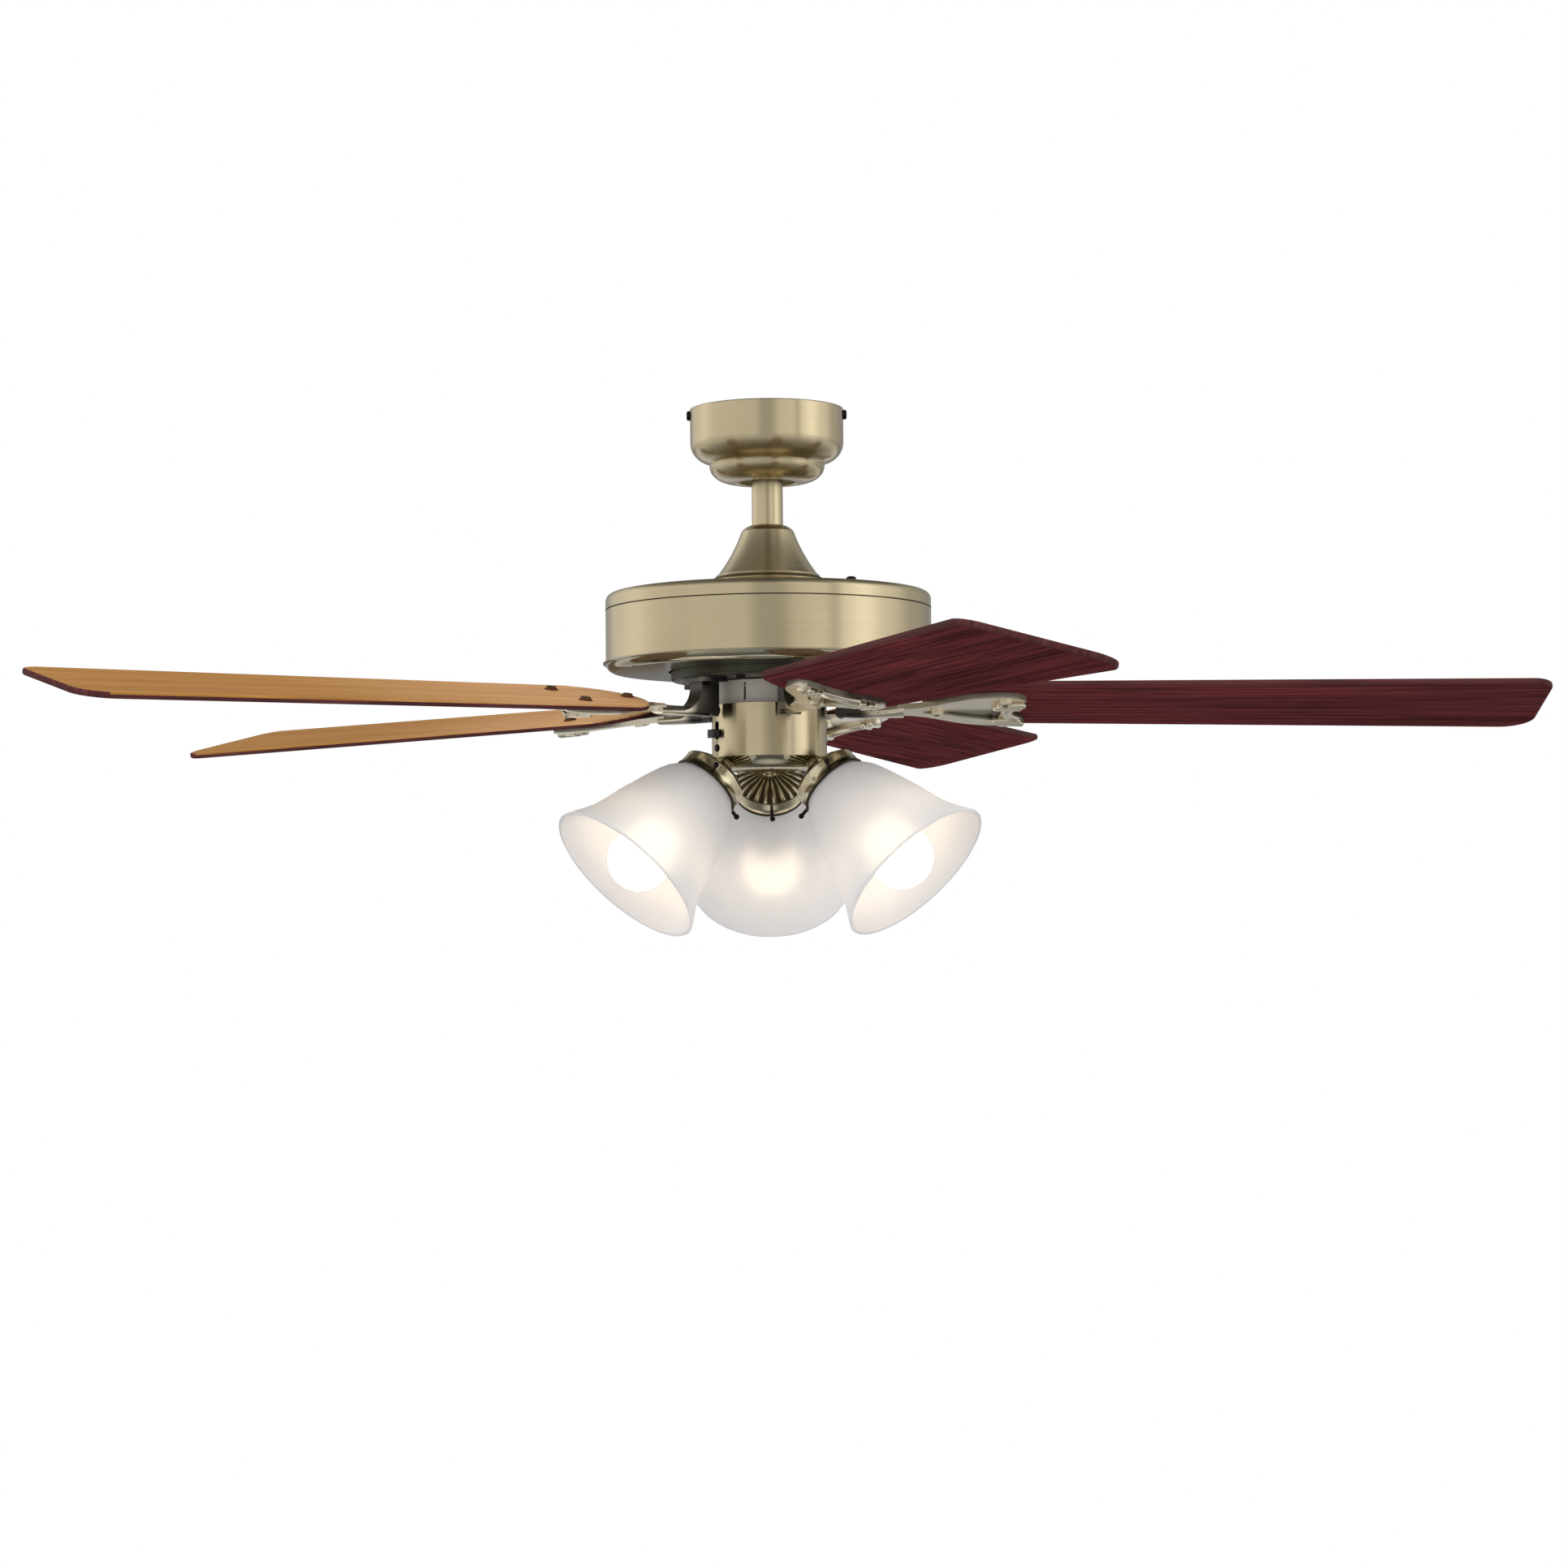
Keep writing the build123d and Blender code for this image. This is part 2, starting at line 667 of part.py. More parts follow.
def rotor_cover(face, rim, bearing_low, screws):
    """End shield between its flat face and its open rim, with a bearing seat and vents."""
    low = min(face, rim)
    high = max(face, rim)
    inward = 1 if rim > face else -1
    shell = tube(rotor_radius, 0, low, high)
    cup_low = min(face + inward * rotor_sheet, rim + inward)
    cup_high = max(face + inward * rotor_sheet, rim + inward)
    shell = shell - tube(cage_radius - 4.0, bearing_outer_radius + 4.0, cup_low, cup_high)
    shell = shell - tube(cage_radius, cage_radius - 5.0, min(rim - inward * 2.0, rim + inward),
                         max(rim - inward * 2.0, rim + inward))
    shell = shell - tube(bearing_outer_radius + 5.0, 0, min(face + inward * 12.0, rim + inward),
                         max(face + inward * 12.0, rim + inward))
    shell = shell - tube(bearing_outer_radius, 0, bearing_low, bearing_low + bearing_width)
    shell = shell - tube(shaft_radius + 1.5, 0, low - 1, high + 1)
    slot = SlotOverall(rotor_vent_length, rotor_vent_width)
    vent = Pos(rotor_vent_circle, 0, low - 1) * extrude(slot, high - low + 2)
    vents = around(vent, rotor_vents, 18.0)
    for cut in vents + screws:
        shell = shell - cut
    return shell


def rotor_screw_holes():
    hole = Pos(rotor_screw_circle, 0, 0) * tube(machine_screw_radius, 0, hub_bottom - 1,
                                                rotor_high - rotor_sheet)
    return around(hole, blade_count, blade_start + 180.0 / blade_count)


def make_rotor_cover_bottom():
    return rotor_cover(rotor_low, rotor_low + rotor_cover_height, bearing_heights()[0],
                       rotor_screw_holes())


def make_rotor_cover_top():
    return rotor_cover(rotor_high, rotor_high - rotor_cover_height, bearing_heights()[1],
                       rotor_screw_holes())


def make_rotor_cage():
    """Laminated ring that turns round the stator, clamped between the two covers."""
    ring = tube(cage_radius, stator_radius + air_gap, cage_low, cage_high)
    for hole in rotor_screw_holes():
        ring = ring - hole
    return ring


def make_rotor_screws():
    length = rotor_high - rotor_sheet - hub_bottom
    screw = pan_head_screw(machine_screw_radius, machine_screw_head, machine_screw_head_height,
                           length)
    upside_down = Pos(rotor_screw_circle, 0, hub_bottom) * Rot(180, 0, 0) * screw
    return group(around(upside_down, blade_count, blade_start + 180.0 / blade_count))


def iron_screw_places():
    return [(iron_screw_reach, side * iron_screw_spread) for side in (-1, 1)]


def make_rotor_hub():
    hub = tube(hub_radius, hub_bore_radius, hub_bottom, hub_top)
    outer_edge = hub.edges().group_by(Axis.Z)[0].sort_by(SortBy.LENGTH)[-1]
    hub = fillet(outer_edge, hub_round)
    for x, y in iron_screw_places():
        hole = Pos(x, y, 0) * tube(machine_screw_radius, 0, hub_bottom - 1, hub_top - 1.5)
        for cut in around(hole, blade_count, blade_start):
            hub = hub - cut
    for cut in rotor_screw_holes():
        hub = hub - cut
    return hub


# ---- Blades and irons -----------------------------------------------------------------------
def blade_outline():
    """Tapered board seen from above: y is negative on the higher, leading edge."""
    def lead(reach):
        share = (reach - blade_root_corner) / (sweep_radius - blade_root_corner)
        return -(blade_lead_root + share * (blade_lead_tip - blade_lead_root))

    def trail(reach):
        share = (reach - blade_root_corner) / (sweep_radius - blade_root_corner)
        return blade_trail_root + share * (blade_trail_tip - blade_trail_root)

    root_lead = (blade_root_corner + 6.0, lead(blade_root_corner + 6.0))
    root_trail = (blade_root_corner - 6.0, trail(blade_root_corner - 6.0))
    tip_lead = (sweep_radius, lead(sweep_radius))
    tip_trail = (sweep_radius, trail(sweep_radius))
    edge = Line(root_lead, tip_lead)
    edge = edge + Line(tip_lead, tip_trail)
    edge = edge + Line(tip_trail, root_trail)
    edge = edge + ThreePointArc(root_trail, (blade_root_radius, -3.0), root_lead)
    face = make_face(edge)
    face = fillet(face.vertices().sort_by(Axis.X)[:2], root_round)
    tip_corners = face.vertices().sort_by(Axis.X)[-2:]
    face = fillet(tip_corners.sort_by(Axis.Y)[0], tip_round_lead)
    trail_corner = face.vertices().group_by(Axis.Y)[-1].sort_by(Axis.X)[-1]
    return fillet(trail_corner, tip_round_trail)


def blade_screw_places():
    return [(inner_screw_reach, 0.0), (outer_screw_reach, outer_screw_spread),
            (outer_screw_reach, -outer_screw_spread)]


def make_blade():
    board = extrude(blade_outline(), blade_thickness / 2, both=True)
    for x, y in blade_screw_places():
        hole = Pos(x, y, 0) * tube(blade_screw_radius + screw_clearance, 0,
                                   -blade_thickness, blade_thickness)
        board = board - hole
    return blade_frame * board


def iron_station(share):
    """Reach of a point between the plate's neck (0) and the tips of its lobes (1)."""
    return iron_neck + share * (iron_reach - iron_neck)


def iron_flank(inset):
    """Flank of the plate from neck to lobe, drawn a given distance inside its edge."""
    return Spline((iron_station(0.0), iron_neck_half_width - inset),
                  (iron_station(0.3), 0.5 * iron_half_width - inset),
                  (iron_station(0.5), 0.83 * iron_half_width - inset),
                  (iron_station(0.72), iron_half_width - inset),
                  (iron_station(0.94), 0.96 * iron_half_width - inset))


def iron_front(setback):
    """Hollow curve between the lobes, drawn a given distance behind the outer edge."""
    notch = (iron_reach - iron_lobe_slant - setback, iron_half_width - iron_lobe_width)
    middle = (iron_reach - iron_hollow - setback, 0.0)
    return ThreePointArc(notch, middle, (notch[0], -notch[1]))


def iron_pocket():
    """Pocket between the rails, pointed towards the neck, cut into the plate from below."""
    end = iron_reach - iron_hollow - iron_bar
    bend = (iron_station(0.56), 0.7 * iron_pocket_half_width)
    corner = (end - 4.0, iron_pocket_half_width)
    side = Line((iron_station(0.16), 0), bend) + Line(bend, corner)
    outer = ThreePointArc(corner, (end, 0), (corner[0], -corner[1]))
    opening = fillet(make_face(side + outer + mirror(side, Plane.XZ)).vertices(), iron_pocket_round)
    return Pos(0, 0, plate_bottom - 1) * extrude(opening, iron_pocket_depth + 1)


def iron_plate_outline():
    """Wishbone plate that ends in two lobes, y across the blade."""
    flank = iron_flank(0.0)
    shoulder = flank @ 1
    tip = (iron_reach, 0.8 * iron_half_width)
    front = iron_front(0.0)
    notch = front @ 0
    lobe = Line((shoulder.X, shoulder.Y), tip) + Line(tip, (notch.X, notch.Y))
    edge = flank + lobe + front + mirror(lobe, Plane.XZ) + mirror(flank, Plane.XZ)
    edge = edge + Line((iron_neck, -iron_neck_half_width), (iron_neck, iron_neck_half_width))
    return make_face(edge)


def iron_bead(line, half_width, depth):
    """Rounded bead along a line on the underside of the plate."""
    path = Pos(0, 0, plate_bottom) * line
    along = path % 0
    start = Plane(origin=path @ 0, x_dir=(-along.Y, along.X, 0), z_dir=along)
    return sweep(start * Ellipse(half_width, depth), path=path)


def iron_rail():
    """Rail under one flank of the plate, from its neck to the end of the lobe."""
    path = Pos(0, 0, plate_bottom) * iron_flank(iron_rail_half_width)
    rail = iron_bead(iron_flank(iron_rail_half_width), iron_rail_half_width, iron_rail_depth)
    end = scale(Sphere(iron_rail_half_width), (1, 1, iron_rail_depth / iron_rail_half_width))
    return rail + Pos(*(path @ 0)) * end + Pos(*(path @ 1)) * end


def iron_ridge(step):
    """One of the rounded ridges that scallop a lobe beside its rail."""
    y = iron_half_width - 2 * iron_rail_half_width - (2 * step + 1) * iron_ridge_radius
    end = Sphere(iron_ridge_radius)
    rod = Rot(0, 90, 0) * extrude(Circle(iron_ridge_radius), iron_ridge_length) + end
    rod = rod + Pos(iron_ridge_length, 0, 0) * end
    start = iron_reach - iron_ridge_length - (step + 1) * iron_ridge_radius
    return Pos(start, y, plate_bottom - iron_ridge_drop) * Rot(0, 0, 3.0 * (iron_ridges - step)) * rod


def iron_plate():
    """Plate with its rails, lobes and screw bosses, flat against the underside of the blade."""
    plate = Pos(0, 0, plate_bottom) * extrude(iron_plate_outline(), iron_thickness) - iron_pocket()
    plate = plate + iron_bead(iron_front(iron_bar / 2), iron_bar / 2, iron_bar_depth)
    for x, y in blade_screw_places():
        boss = extrude(Circle(iron_boss_radius), iron_boss_depth + iron_thickness)
        plate = plate + Pos(x, y, plate_bottom - iron_boss_depth) * boss
    side_pieces = [iron_rail()] + [iron_ridge(step) for step in range(iron_ridges)]
    for piece in side_pieces:
        plate = plate + piece + mirror(piece, Plane.XZ)
    for x, y in blade_screw_places():
        plate = plate - Pos(x, y, 0) * tube(blade_screw_radius, 0, plate_bottom - 20, plate_top + 1)
    return blade_frame * plate


def plate_middle(reach):
    """Height of the middle of the plate on the blade's centre line."""
    return blade_plane - reach * tan(radians(blade_droop)) + (plate_top + plate_bottom) / 2


def iron_arm_height():
    """Middle of the arm's inner end."""
    return plate_middle(iron_arm_end) - iron_arm_sag


def iron_arm_section(reach, height, tilt, half_width, half_thickness):
    plane = Plane(origin=(reach, 0, height), x_dir=(0, cos(radians(tilt)), -sin(radians(tilt))),
                  z_dir=(1, 0, 0))
    return plane * Ellipse(half_width, half_thickness)


def iron_arm():
    """Arm that twists from flat at the heel to the pitch of the blade and flares at its end."""
    low = iron_arm_height()
    return loft([
        iron_arm_section(iron_collar_reach, plate_middle(iron_collar_reach) - 1.6, blade_pitch,
                         iron_collar_half_width, iron_arm_half_thickness),
        iron_arm_section(iron_arm_middle, low - 0.4, 0.6 * blade_pitch,
                         iron_arm_half_width, iron_arm_half_thickness),
        iron_arm_section(iron_arm_end, low, 0, iron_arm_half_width - 0.6,
                         iron_arm_half_thickness + 0.2)])


def iron_heel():
    """Post from the foot down to the arm, hollowed towards the blade."""
    foot_low = hub_bottom - iron_foot_thickness
    low = iron_arm_height()
    inner = iron_foot_inner + 3.5
    outer = iron_foot_outer - 4.0
    edge = Polyline((outer, foot_low + 1), (inner, foot_low + 1), (inner, low - 1.3),
                    (outer + 20.0, low - 1.3))
    edge = edge + ThreePointArc((outer + 20.0, low - 1.3), (outer + 5.5, low + 5.5),
                                (outer, foot_low + 1))
    half_width = iron_arm_half_width + iron_heel_margin
    heel = extrude(Plane.XZ * make_face(edge), half_width, both=True)
    scroll = Pos(inner + 4.0, half_width, low + 0.5) * Rot(90, 0, 0) * extrude(
        Circle(iron_scroll_radius), 2 * half_width)
    return heel + scroll


def make_blade_iron():
    """Cast iron: foot under the hub, heel, twisted arm and the fluted plate under the blade."""
    foot_low = hub_bottom - iron_foot_thickness
    foot_length = iron_foot_outer - iron_foot_inner
    foot = Pos((iron_foot_inner + iron_foot_outer) / 2, 0, foot_low) * extrude(
        RectangleRounded(foot_length, 2 * iron_foot_half_width, iron_foot_corner), iron_foot_thickness)
    iron = iron_plate() + iron_arm() + iron_heel() + foot
    for x, y in iron_screw_places():
        iron = iron - Pos(x, y, 0) * tube(machine_screw_radius + screw_clearance, 0,
                                          foot_low - 1, hub_bottom + 1)
    return iron


def make_iron_screws():
    length = iron_foot_thickness + machine_screw_engagement
    screw = pan_head_screw(machine_screw_radius, machine_screw_head, machine_screw_head_height,
                           length)
    screws = []
    for x, y in iron_screw_places():
        placed = Pos(x, y, hub_bottom - iron_foot_thickness) * Rot(180, 0, 0) * screw
        screws = screws + around(placed, blade_count, blade_start)
    return group(screws)


def make_blade_screws():
    grip = blade_thickness + blade_washer_thickness + iron_thickness + 1.0
    screw = pan_head_screw(blade_screw_radius, blade_screw_head, blade_screw_head_height, grip)
    screws = []
    for x, y in blade_screw_places():
        placed = blade_frame * (Pos(x, y, blade_thickness / 2 + blade_washer_thickness) * screw)
        screws = screws + around(placed, blade_count, blade_start)
    return group(screws)


def make_blade_washers():
    washers = []
    for x, y in blade_screw_places():
        ring = tube(blade_washer_radius, blade_screw_radius + screw_clearance,
                    blade_thickness / 2, blade_thickness / 2 + blade_washer_thickness)
        washers = washers + around(blade_frame * (Pos(x, y, 0) * ring), blade_count, blade_start)
    return group(washers)


# ---- Neck and switch housing ----------------------------------------------------------------
def make_neck():
    """Slotted cup that hides the wires between the motor and the switch housing."""
    cup = tube(neck_radius, shaft_radius, neck_bottom, neck_top)
    cup = cup - tube(neck_radius - sheet, 0, neck_bottom + sheet, neck_top + 1)
    middle = (neck_bottom + neck_top) / 2
    slot = Pos(neck_radius, 0, middle) * Box(8, neck_slot_width, neck_slot_height)
    for cut in around(slot, neck_slots, neck_slot_start):
        cup = cup - cut
    return cup


def at_switch(shape):
    return Rot(0, 0, switch_azimuth) * shape


def make_switch_housing():
    cup = tube(switch_housing_radius, 0, switch_bottom, switch_top)
    cup = cup - tube(switch_housing_radius - sheet, 0, switch_bottom - 1, switch_top - sheet)
    cup = cup - tube(shaft_radius, 0, switch_top - 3 * sheet, switch_top + 1)
    slot = Pos(switch_housing_radius, 0, switch_middle) * Box(8, switch_slot_width,
                                                             switch_slot_height)
    cup = cup - at_switch(slot)
    for side in (-1, 1):
        hole = radial_rod(switch_screw_radius + switch_screw_clearance,
                          switch_housing_radius - 5, switch_housing_radius + 1,
                          switch_middle + side * switch_screw_spacing / 2)
        cup = cup - at_switch(hole)
    return cup


def switch_flat():
    """Distance from the axis at which the switch's flat face meets the curved wall."""
    inner = switch_housing_radius - sheet
    return sqrt(inner ** 2 - (switch_body_width / 2) ** 2) - 0.1


def make_reverse_switch_body():
    flat = switch_flat()
    plate_height = switch_screw_spacing + 7.0
    plate = Pos(flat - switch_plate_thickness / 2, 0, switch_middle) * Box(
        switch_plate_thickness, switch_body_width, plate_height)
    block = Pos(flat - switch_plate_thickness - switch_body_depth / 2, 0, switch_middle) * Box(
        switch_body_depth, switch_body_width, switch_body_height)
    body = plate + block
    window_height = knob_height + switch_travel + 1.0
    travel_window = Pos(flat, 0, switch_middle) * Box(8.0, knob_neck_width + 1.0, window_height)
    body = body - travel_window
    for side in (-1, 1):
        body = body - radial_rod(switch_screw_radius, flat - 3, flat + 1,
                                 switch_middle + side * switch_screw_spacing / 2)
    return at_switch(body)


def make_reverse_switch_screws():
    length = switch_housing_radius - switch_flat() + switch_plate_thickness
    screw = pan_head_screw(switch_screw_radius, switch_screw_head, switch_screw_head_height, length)
    screws = []
    for side in (-1, 1):
        height = switch_middle + side * switch_screw_spacing / 2
        screws.append(at_switch(Pos(switch_housing_radius, 0, height) * Rot(0, 90, 0) * screw))
    return group(screws)


def make_reverse_switch_knob():
    """Sliding knob at its lower stop, ribbed on the face that the thumb pushes."""
    rest = switch_middle - switch_travel / 2
    head_start = switch_housing_radius + knob_gap
    head = Pos(head_start + knob_stand_out / 2, 0, rest) * Box(knob_stand_out, knob_width,
                                                               knob_height)
    head = fillet(head.edges().filter_by(Axis.X), 1.2)
    neck_start = switch_flat() - 3.4
    neck_length = head_start - neck_start
    neck = Pos(neck_start + neck_length / 2, 0, rest) * Box(neck_length, knob_neck_width,
                                                            knob_height - 1.0)
    knob = head + neck
    for step in (-1, 0, 1):
        knob = knob - Pos(head_start + knob_stand_out, 0, rest + 2.0 * step) * Box(
            1.2, knob_width + 2, 0.8)
    return at_switch(knob)


def make_capacitor():
    size_x, size_y, size_z = capacitor_size
    block = Box(size_x, size_y, size_z)
    block = fillet(block.edges().filter_by(Axis.Z), 3.0)
    top = shaft_nut_top
    return Pos(0, capacitor_offset, top - size_z / 2) * block


# ---- Light kit ------------------------------------------------------------------------------
def lamp_frame(azimuth):
    """Frame on the holder's shoulder, with +Z out along the lamp axis and +X across it."""
    turn = radians(azimuth)
    drop = radians(lamp_tilt)
    outward = (cos(turn) * cos(drop), sin(turn) * cos(drop), -sin(drop))
    origin = (cos(turn) * holder_reach, sin(turn) * holder_reach, holder_height)
    return Plane(origin=origin, x_dir=(-sin(turn), cos(turn), 0), z_dir=outward)


def make_light_pan():
    rim = switch_housing_radius
    bowl = turned(
        Line((0, switch_bottom), (rim, switch_bottom)),
        ThreePointArc((rim, switch_bottom), (rim - 5.6, switch_bottom - 6.8),
                      (pan_floor_radius, pan_bottom)),
        Line((pan_floor_radius, pan_bottom), (0, pan_bottom)),
        Line((0, pan_bottom), (0, switch_bottom)))
    hollow = turned(
        Line((0, switch_bottom + 1), (rim - pan_rim_inset, switch_bottom + 1)),
        Line((rim - pan_rim_inset, switch_bottom + 1), (rim - pan_rim_inset, switch_bottom)),
        ThreePointArc((rim - pan_rim_inset, switch_bottom), (rim - 6.9, switch_bottom - 6.0),
                      (pan_floor_radius, pan_bottom + pan_sheet)),
        Line((pan_floor_radius, pan_bottom + pan_sheet), (0, pan_bottom + pan_sheet)),
        Line((0, pan_bottom + pan_sheet), (0, switch_bottom + 1)))
    wall = switch_housing_radius - sheet
    upstand = tube(wall, rim - pan_rim_inset, switch_bottom - 0.5, switch_bottom + pan_upstand)
    pan = bowl - hollow + upstand
    below = tube(2 * rim, 0, switch_bottom - 40, switch_bottom - 0.2)
    for azimuth in lamp_azimuths:
        place = lamp_frame(azimuth)
        boss = Pos(0, 0, -boss_face - boss_length) * extrude(Circle(boss_radius), boss_length)
        pan = pan + ((place * boss) & below)
    for azimuth in lamp_azimuths:
        place = lamp_frame(azimuth)
        bore = Pos(0, 0, -boss_face - nipple_length - 6) * extrude(
            Circle(nipple_radius), nipple_length + 8)
        pan = pan - place * bore
    return pan - tube(stem_radius, 0, pan_bottom - 1, switch_bottom)


def make_light_stem():
    return tube(stem_radius, stem_radius - stem_wall, pan_bottom, shaft_bottom + stem_engagement)


def hex_nut(radius, hole, thickness):
    return extrude(RegularPolygon(radius, 6) - Circle(hole), thickness)


def make_lock_nuts():
    """Nuts on the motor shaft, on the stem inside the pan and on each lamp nipple."""
    shaft_nut = Pos(0, 0, shaft_nut_top - nut_thickness) * hex_nut(
        shaft_nut_radius, shaft_radius, nut_thickness)
    stem_nut = Pos(0, 0, pan_bottom + pan_sheet) * hex_nut(stem_nut_radius, stem_radius,
                                                           stem_nut_thickness)
    nuts = [shaft_nut, stem_nut]
    for azimuth in lamp_azimuths:
        nut = Pos(0, 0, -boss_face - boss_length - nipple_nut_thickness) * hex_nut(
            nipple_nut_radius, nipple_radius, nipple_nut_thickness)
        nuts.append(lamp_frame(azimuth) * nut)
    return group(nuts)


def holder_shape():
    """Fluted dome, plain collar with a rolled rim, and the hollow nipple behind it."""
    dome_radius = (holder_radius ** 2 + holder_dome ** 2) / (2 * holder_dome)
    half = 0.5 * holder_radius
    half_rise = holder_dome - dome_radius + sqrt(dome_radius ** 2 - half ** 2)
    inner = holder_radius - holder_sheet
    inner_dome = holder_dome - holder_sheet
    inner_round = (inner ** 2 + inner_dome ** 2) / (2 * inner_dome)
    inner_half_rise = inner_dome - inner_round + sqrt(inner_round ** 2 - half ** 2)
    shell = turned(
        Line((0, -inner_dome), (0, -holder_dome)),
        ThreePointArc((0, -holder_dome), (half, -half_rise), (holder_radius, 0)),
        Line((holder_radius, 0), (holder_radius, holder_band)),
        Line((holder_radius, holder_band), (inner, holder_band)),
        Line((inner, holder_band), (inner, 0)),
        ThreePointArc((inner, 0), (half, -inner_half_rise), (0, -inner_dome)))
    rim = Pos(0, 0, holder_band) * Torus(holder_radius, holder_bead)
    shell = shell + rim
    shell = shell - tube(inner - 0.01, 0, 0, holder_band + 2 * holder_bead)
    for cut in around(flute_cutter(dome_radius), holder_flutes):
        shell = shell - cut
    stub = tube(boss_radius, 0, -boss_face, -inner_dome)
    nipple = tube(nipple_radius, 0, -boss_face - nipple_length, -inner_dome)
    bore = tube(nipple_radius - nipple_wall, 0, -boss_face - nipple_length - 1, 0)
    return shell + stub + nipple - bore


def flute_cutter(dome_radius):
    """Tapered groove that follows the dome from near its top to its shoulder."""
    start_angle = degrees(asin(boss_radius * 1.7 / dome_radius))
    end_angle = degrees(asin(holder_radius * 0.93 / dome_radius))
    centre = dome_radius - holder_dome
    sections = []
    for angle, size in ((start_angle, 1.0), ((start_angle + end_angle) / 2, 2.6),
                        (end_angle, 4.4)):
        turn = radians(angle)
        radius = dome_radius + size - holder_flute_depth
        place = Plane(origin=(radius * sin(turn), 0, centre - radius * cos(turn)),
                      x_dir=(0, 1, 0), z_dir=(cos(turn), 0, sin(turn)))
        sections.append(place * Circle(size))
    return loft(sections)


def thumb_screw_angles():
    return [thumb_screw_turn - 90.0 + 120.0 * step for step in range(3)]


def screw_rod(radius, start, end):
    """Radial rods at the three thumb screw places, in the lamp frame."""
    rods = []
    for angle in thumb_screw_angles():
        rods.append(Rot(0, 0, angle) * radial_rod(radius, start, end, thumb_screw_reach))
    return rods


def make_thumb_screws():
    screws = []
    tip = shade_neck_radius + thumb_screw_gap
    for azimuth in lamp_azimuths:
        for angle in thumb_screw_angles():
            shank = radial_rod(thumb_screw_radius, tip, tip + thumb_screw_length,
                               thumb_screw_reach)
            ball = Pos(tip + thumb_screw_length, 0, thumb_screw_reach) * Sphere(thumb_screw_ball)
            screws.append(lamp_frame(azimuth) * (Rot(0, 0, angle) * (shank + ball)))
    return group(screws)


def socket_shape():
    floor = -holder_dome + holder_sheet
    body = tube(socket_radius, 0, -socket_back, socket_end)
    body = body + tube(boss_radius - 0.5, 0, floor + 0.5, 1 - socket_back)
    body = body - tube(socket_bore, 0, socket_floor - socket_back, socket_end + 1)
    body = body - tube(nipple_radius - nipple_wall, 0, floor - 1, socket_floor - socket_back)
    rim = body.edges().group_by(Axis.Z)[-1].sort_by(SortBy.LENGTH)[-1]
    return fillet(rim, 1.5)


def bulb_shape():
    base = socket_floor - socket_back + bulb_seat_gap
    rise = sqrt(1 - bulb_join ** 2)
    join = (bulb_join * bulb_radius, bulb_centre - rise * bulb_radius)
    return turned(
        Line((0, base), (bulb_base_radius, base)),
        Line((bulb_base_radius, base), (bulb_base_radius, bulb_neck)),
        Spline((bulb_base_radius, bulb_neck), (bulb_base_radius + 3.4, bulb_neck + 24.0), join,
               tangents=((0, 1), (rise, bulb_join))),
        ThreePointArc(join, (bulb_radius, bulb_centre), (0, bulb_centre + bulb_radius)),
        Line((0, bulb_centre + bulb_radius), (0, base)))


def shade_line(inset):
    """Flank of the shade, drawn a given distance inside its outer face."""
    neck_radius_here = shade_neck_radius - inset
    rim = shade_rim_radius - inset
    neck = Line((neck_radius_here, shade_start), (neck_radius_here, holder_band))
    flank = Spline((neck_radius_here, holder_band), (neck_radius_here + 10.5, holder_band + 15.0),
                   (rim - 21.0, 0.54 * shade_end), (rim - 12.5, shade_end - 25.0),
                   (rim, shade_end))
    return neck + flank


def shade_shape():
    """Frosted bell: straight fitter neck, round shoulder, long flank and flared rim."""
    return turned(
        shade_line(0.0), shade_line(shade_wall),
        Line((shade_neck_radius, shade_start), (shade_neck_radius - shade_wall, shade_start)),
        Line((shade_rim_radius, shade_end), (shade_rim_radius - shade_wall, shade_end)))


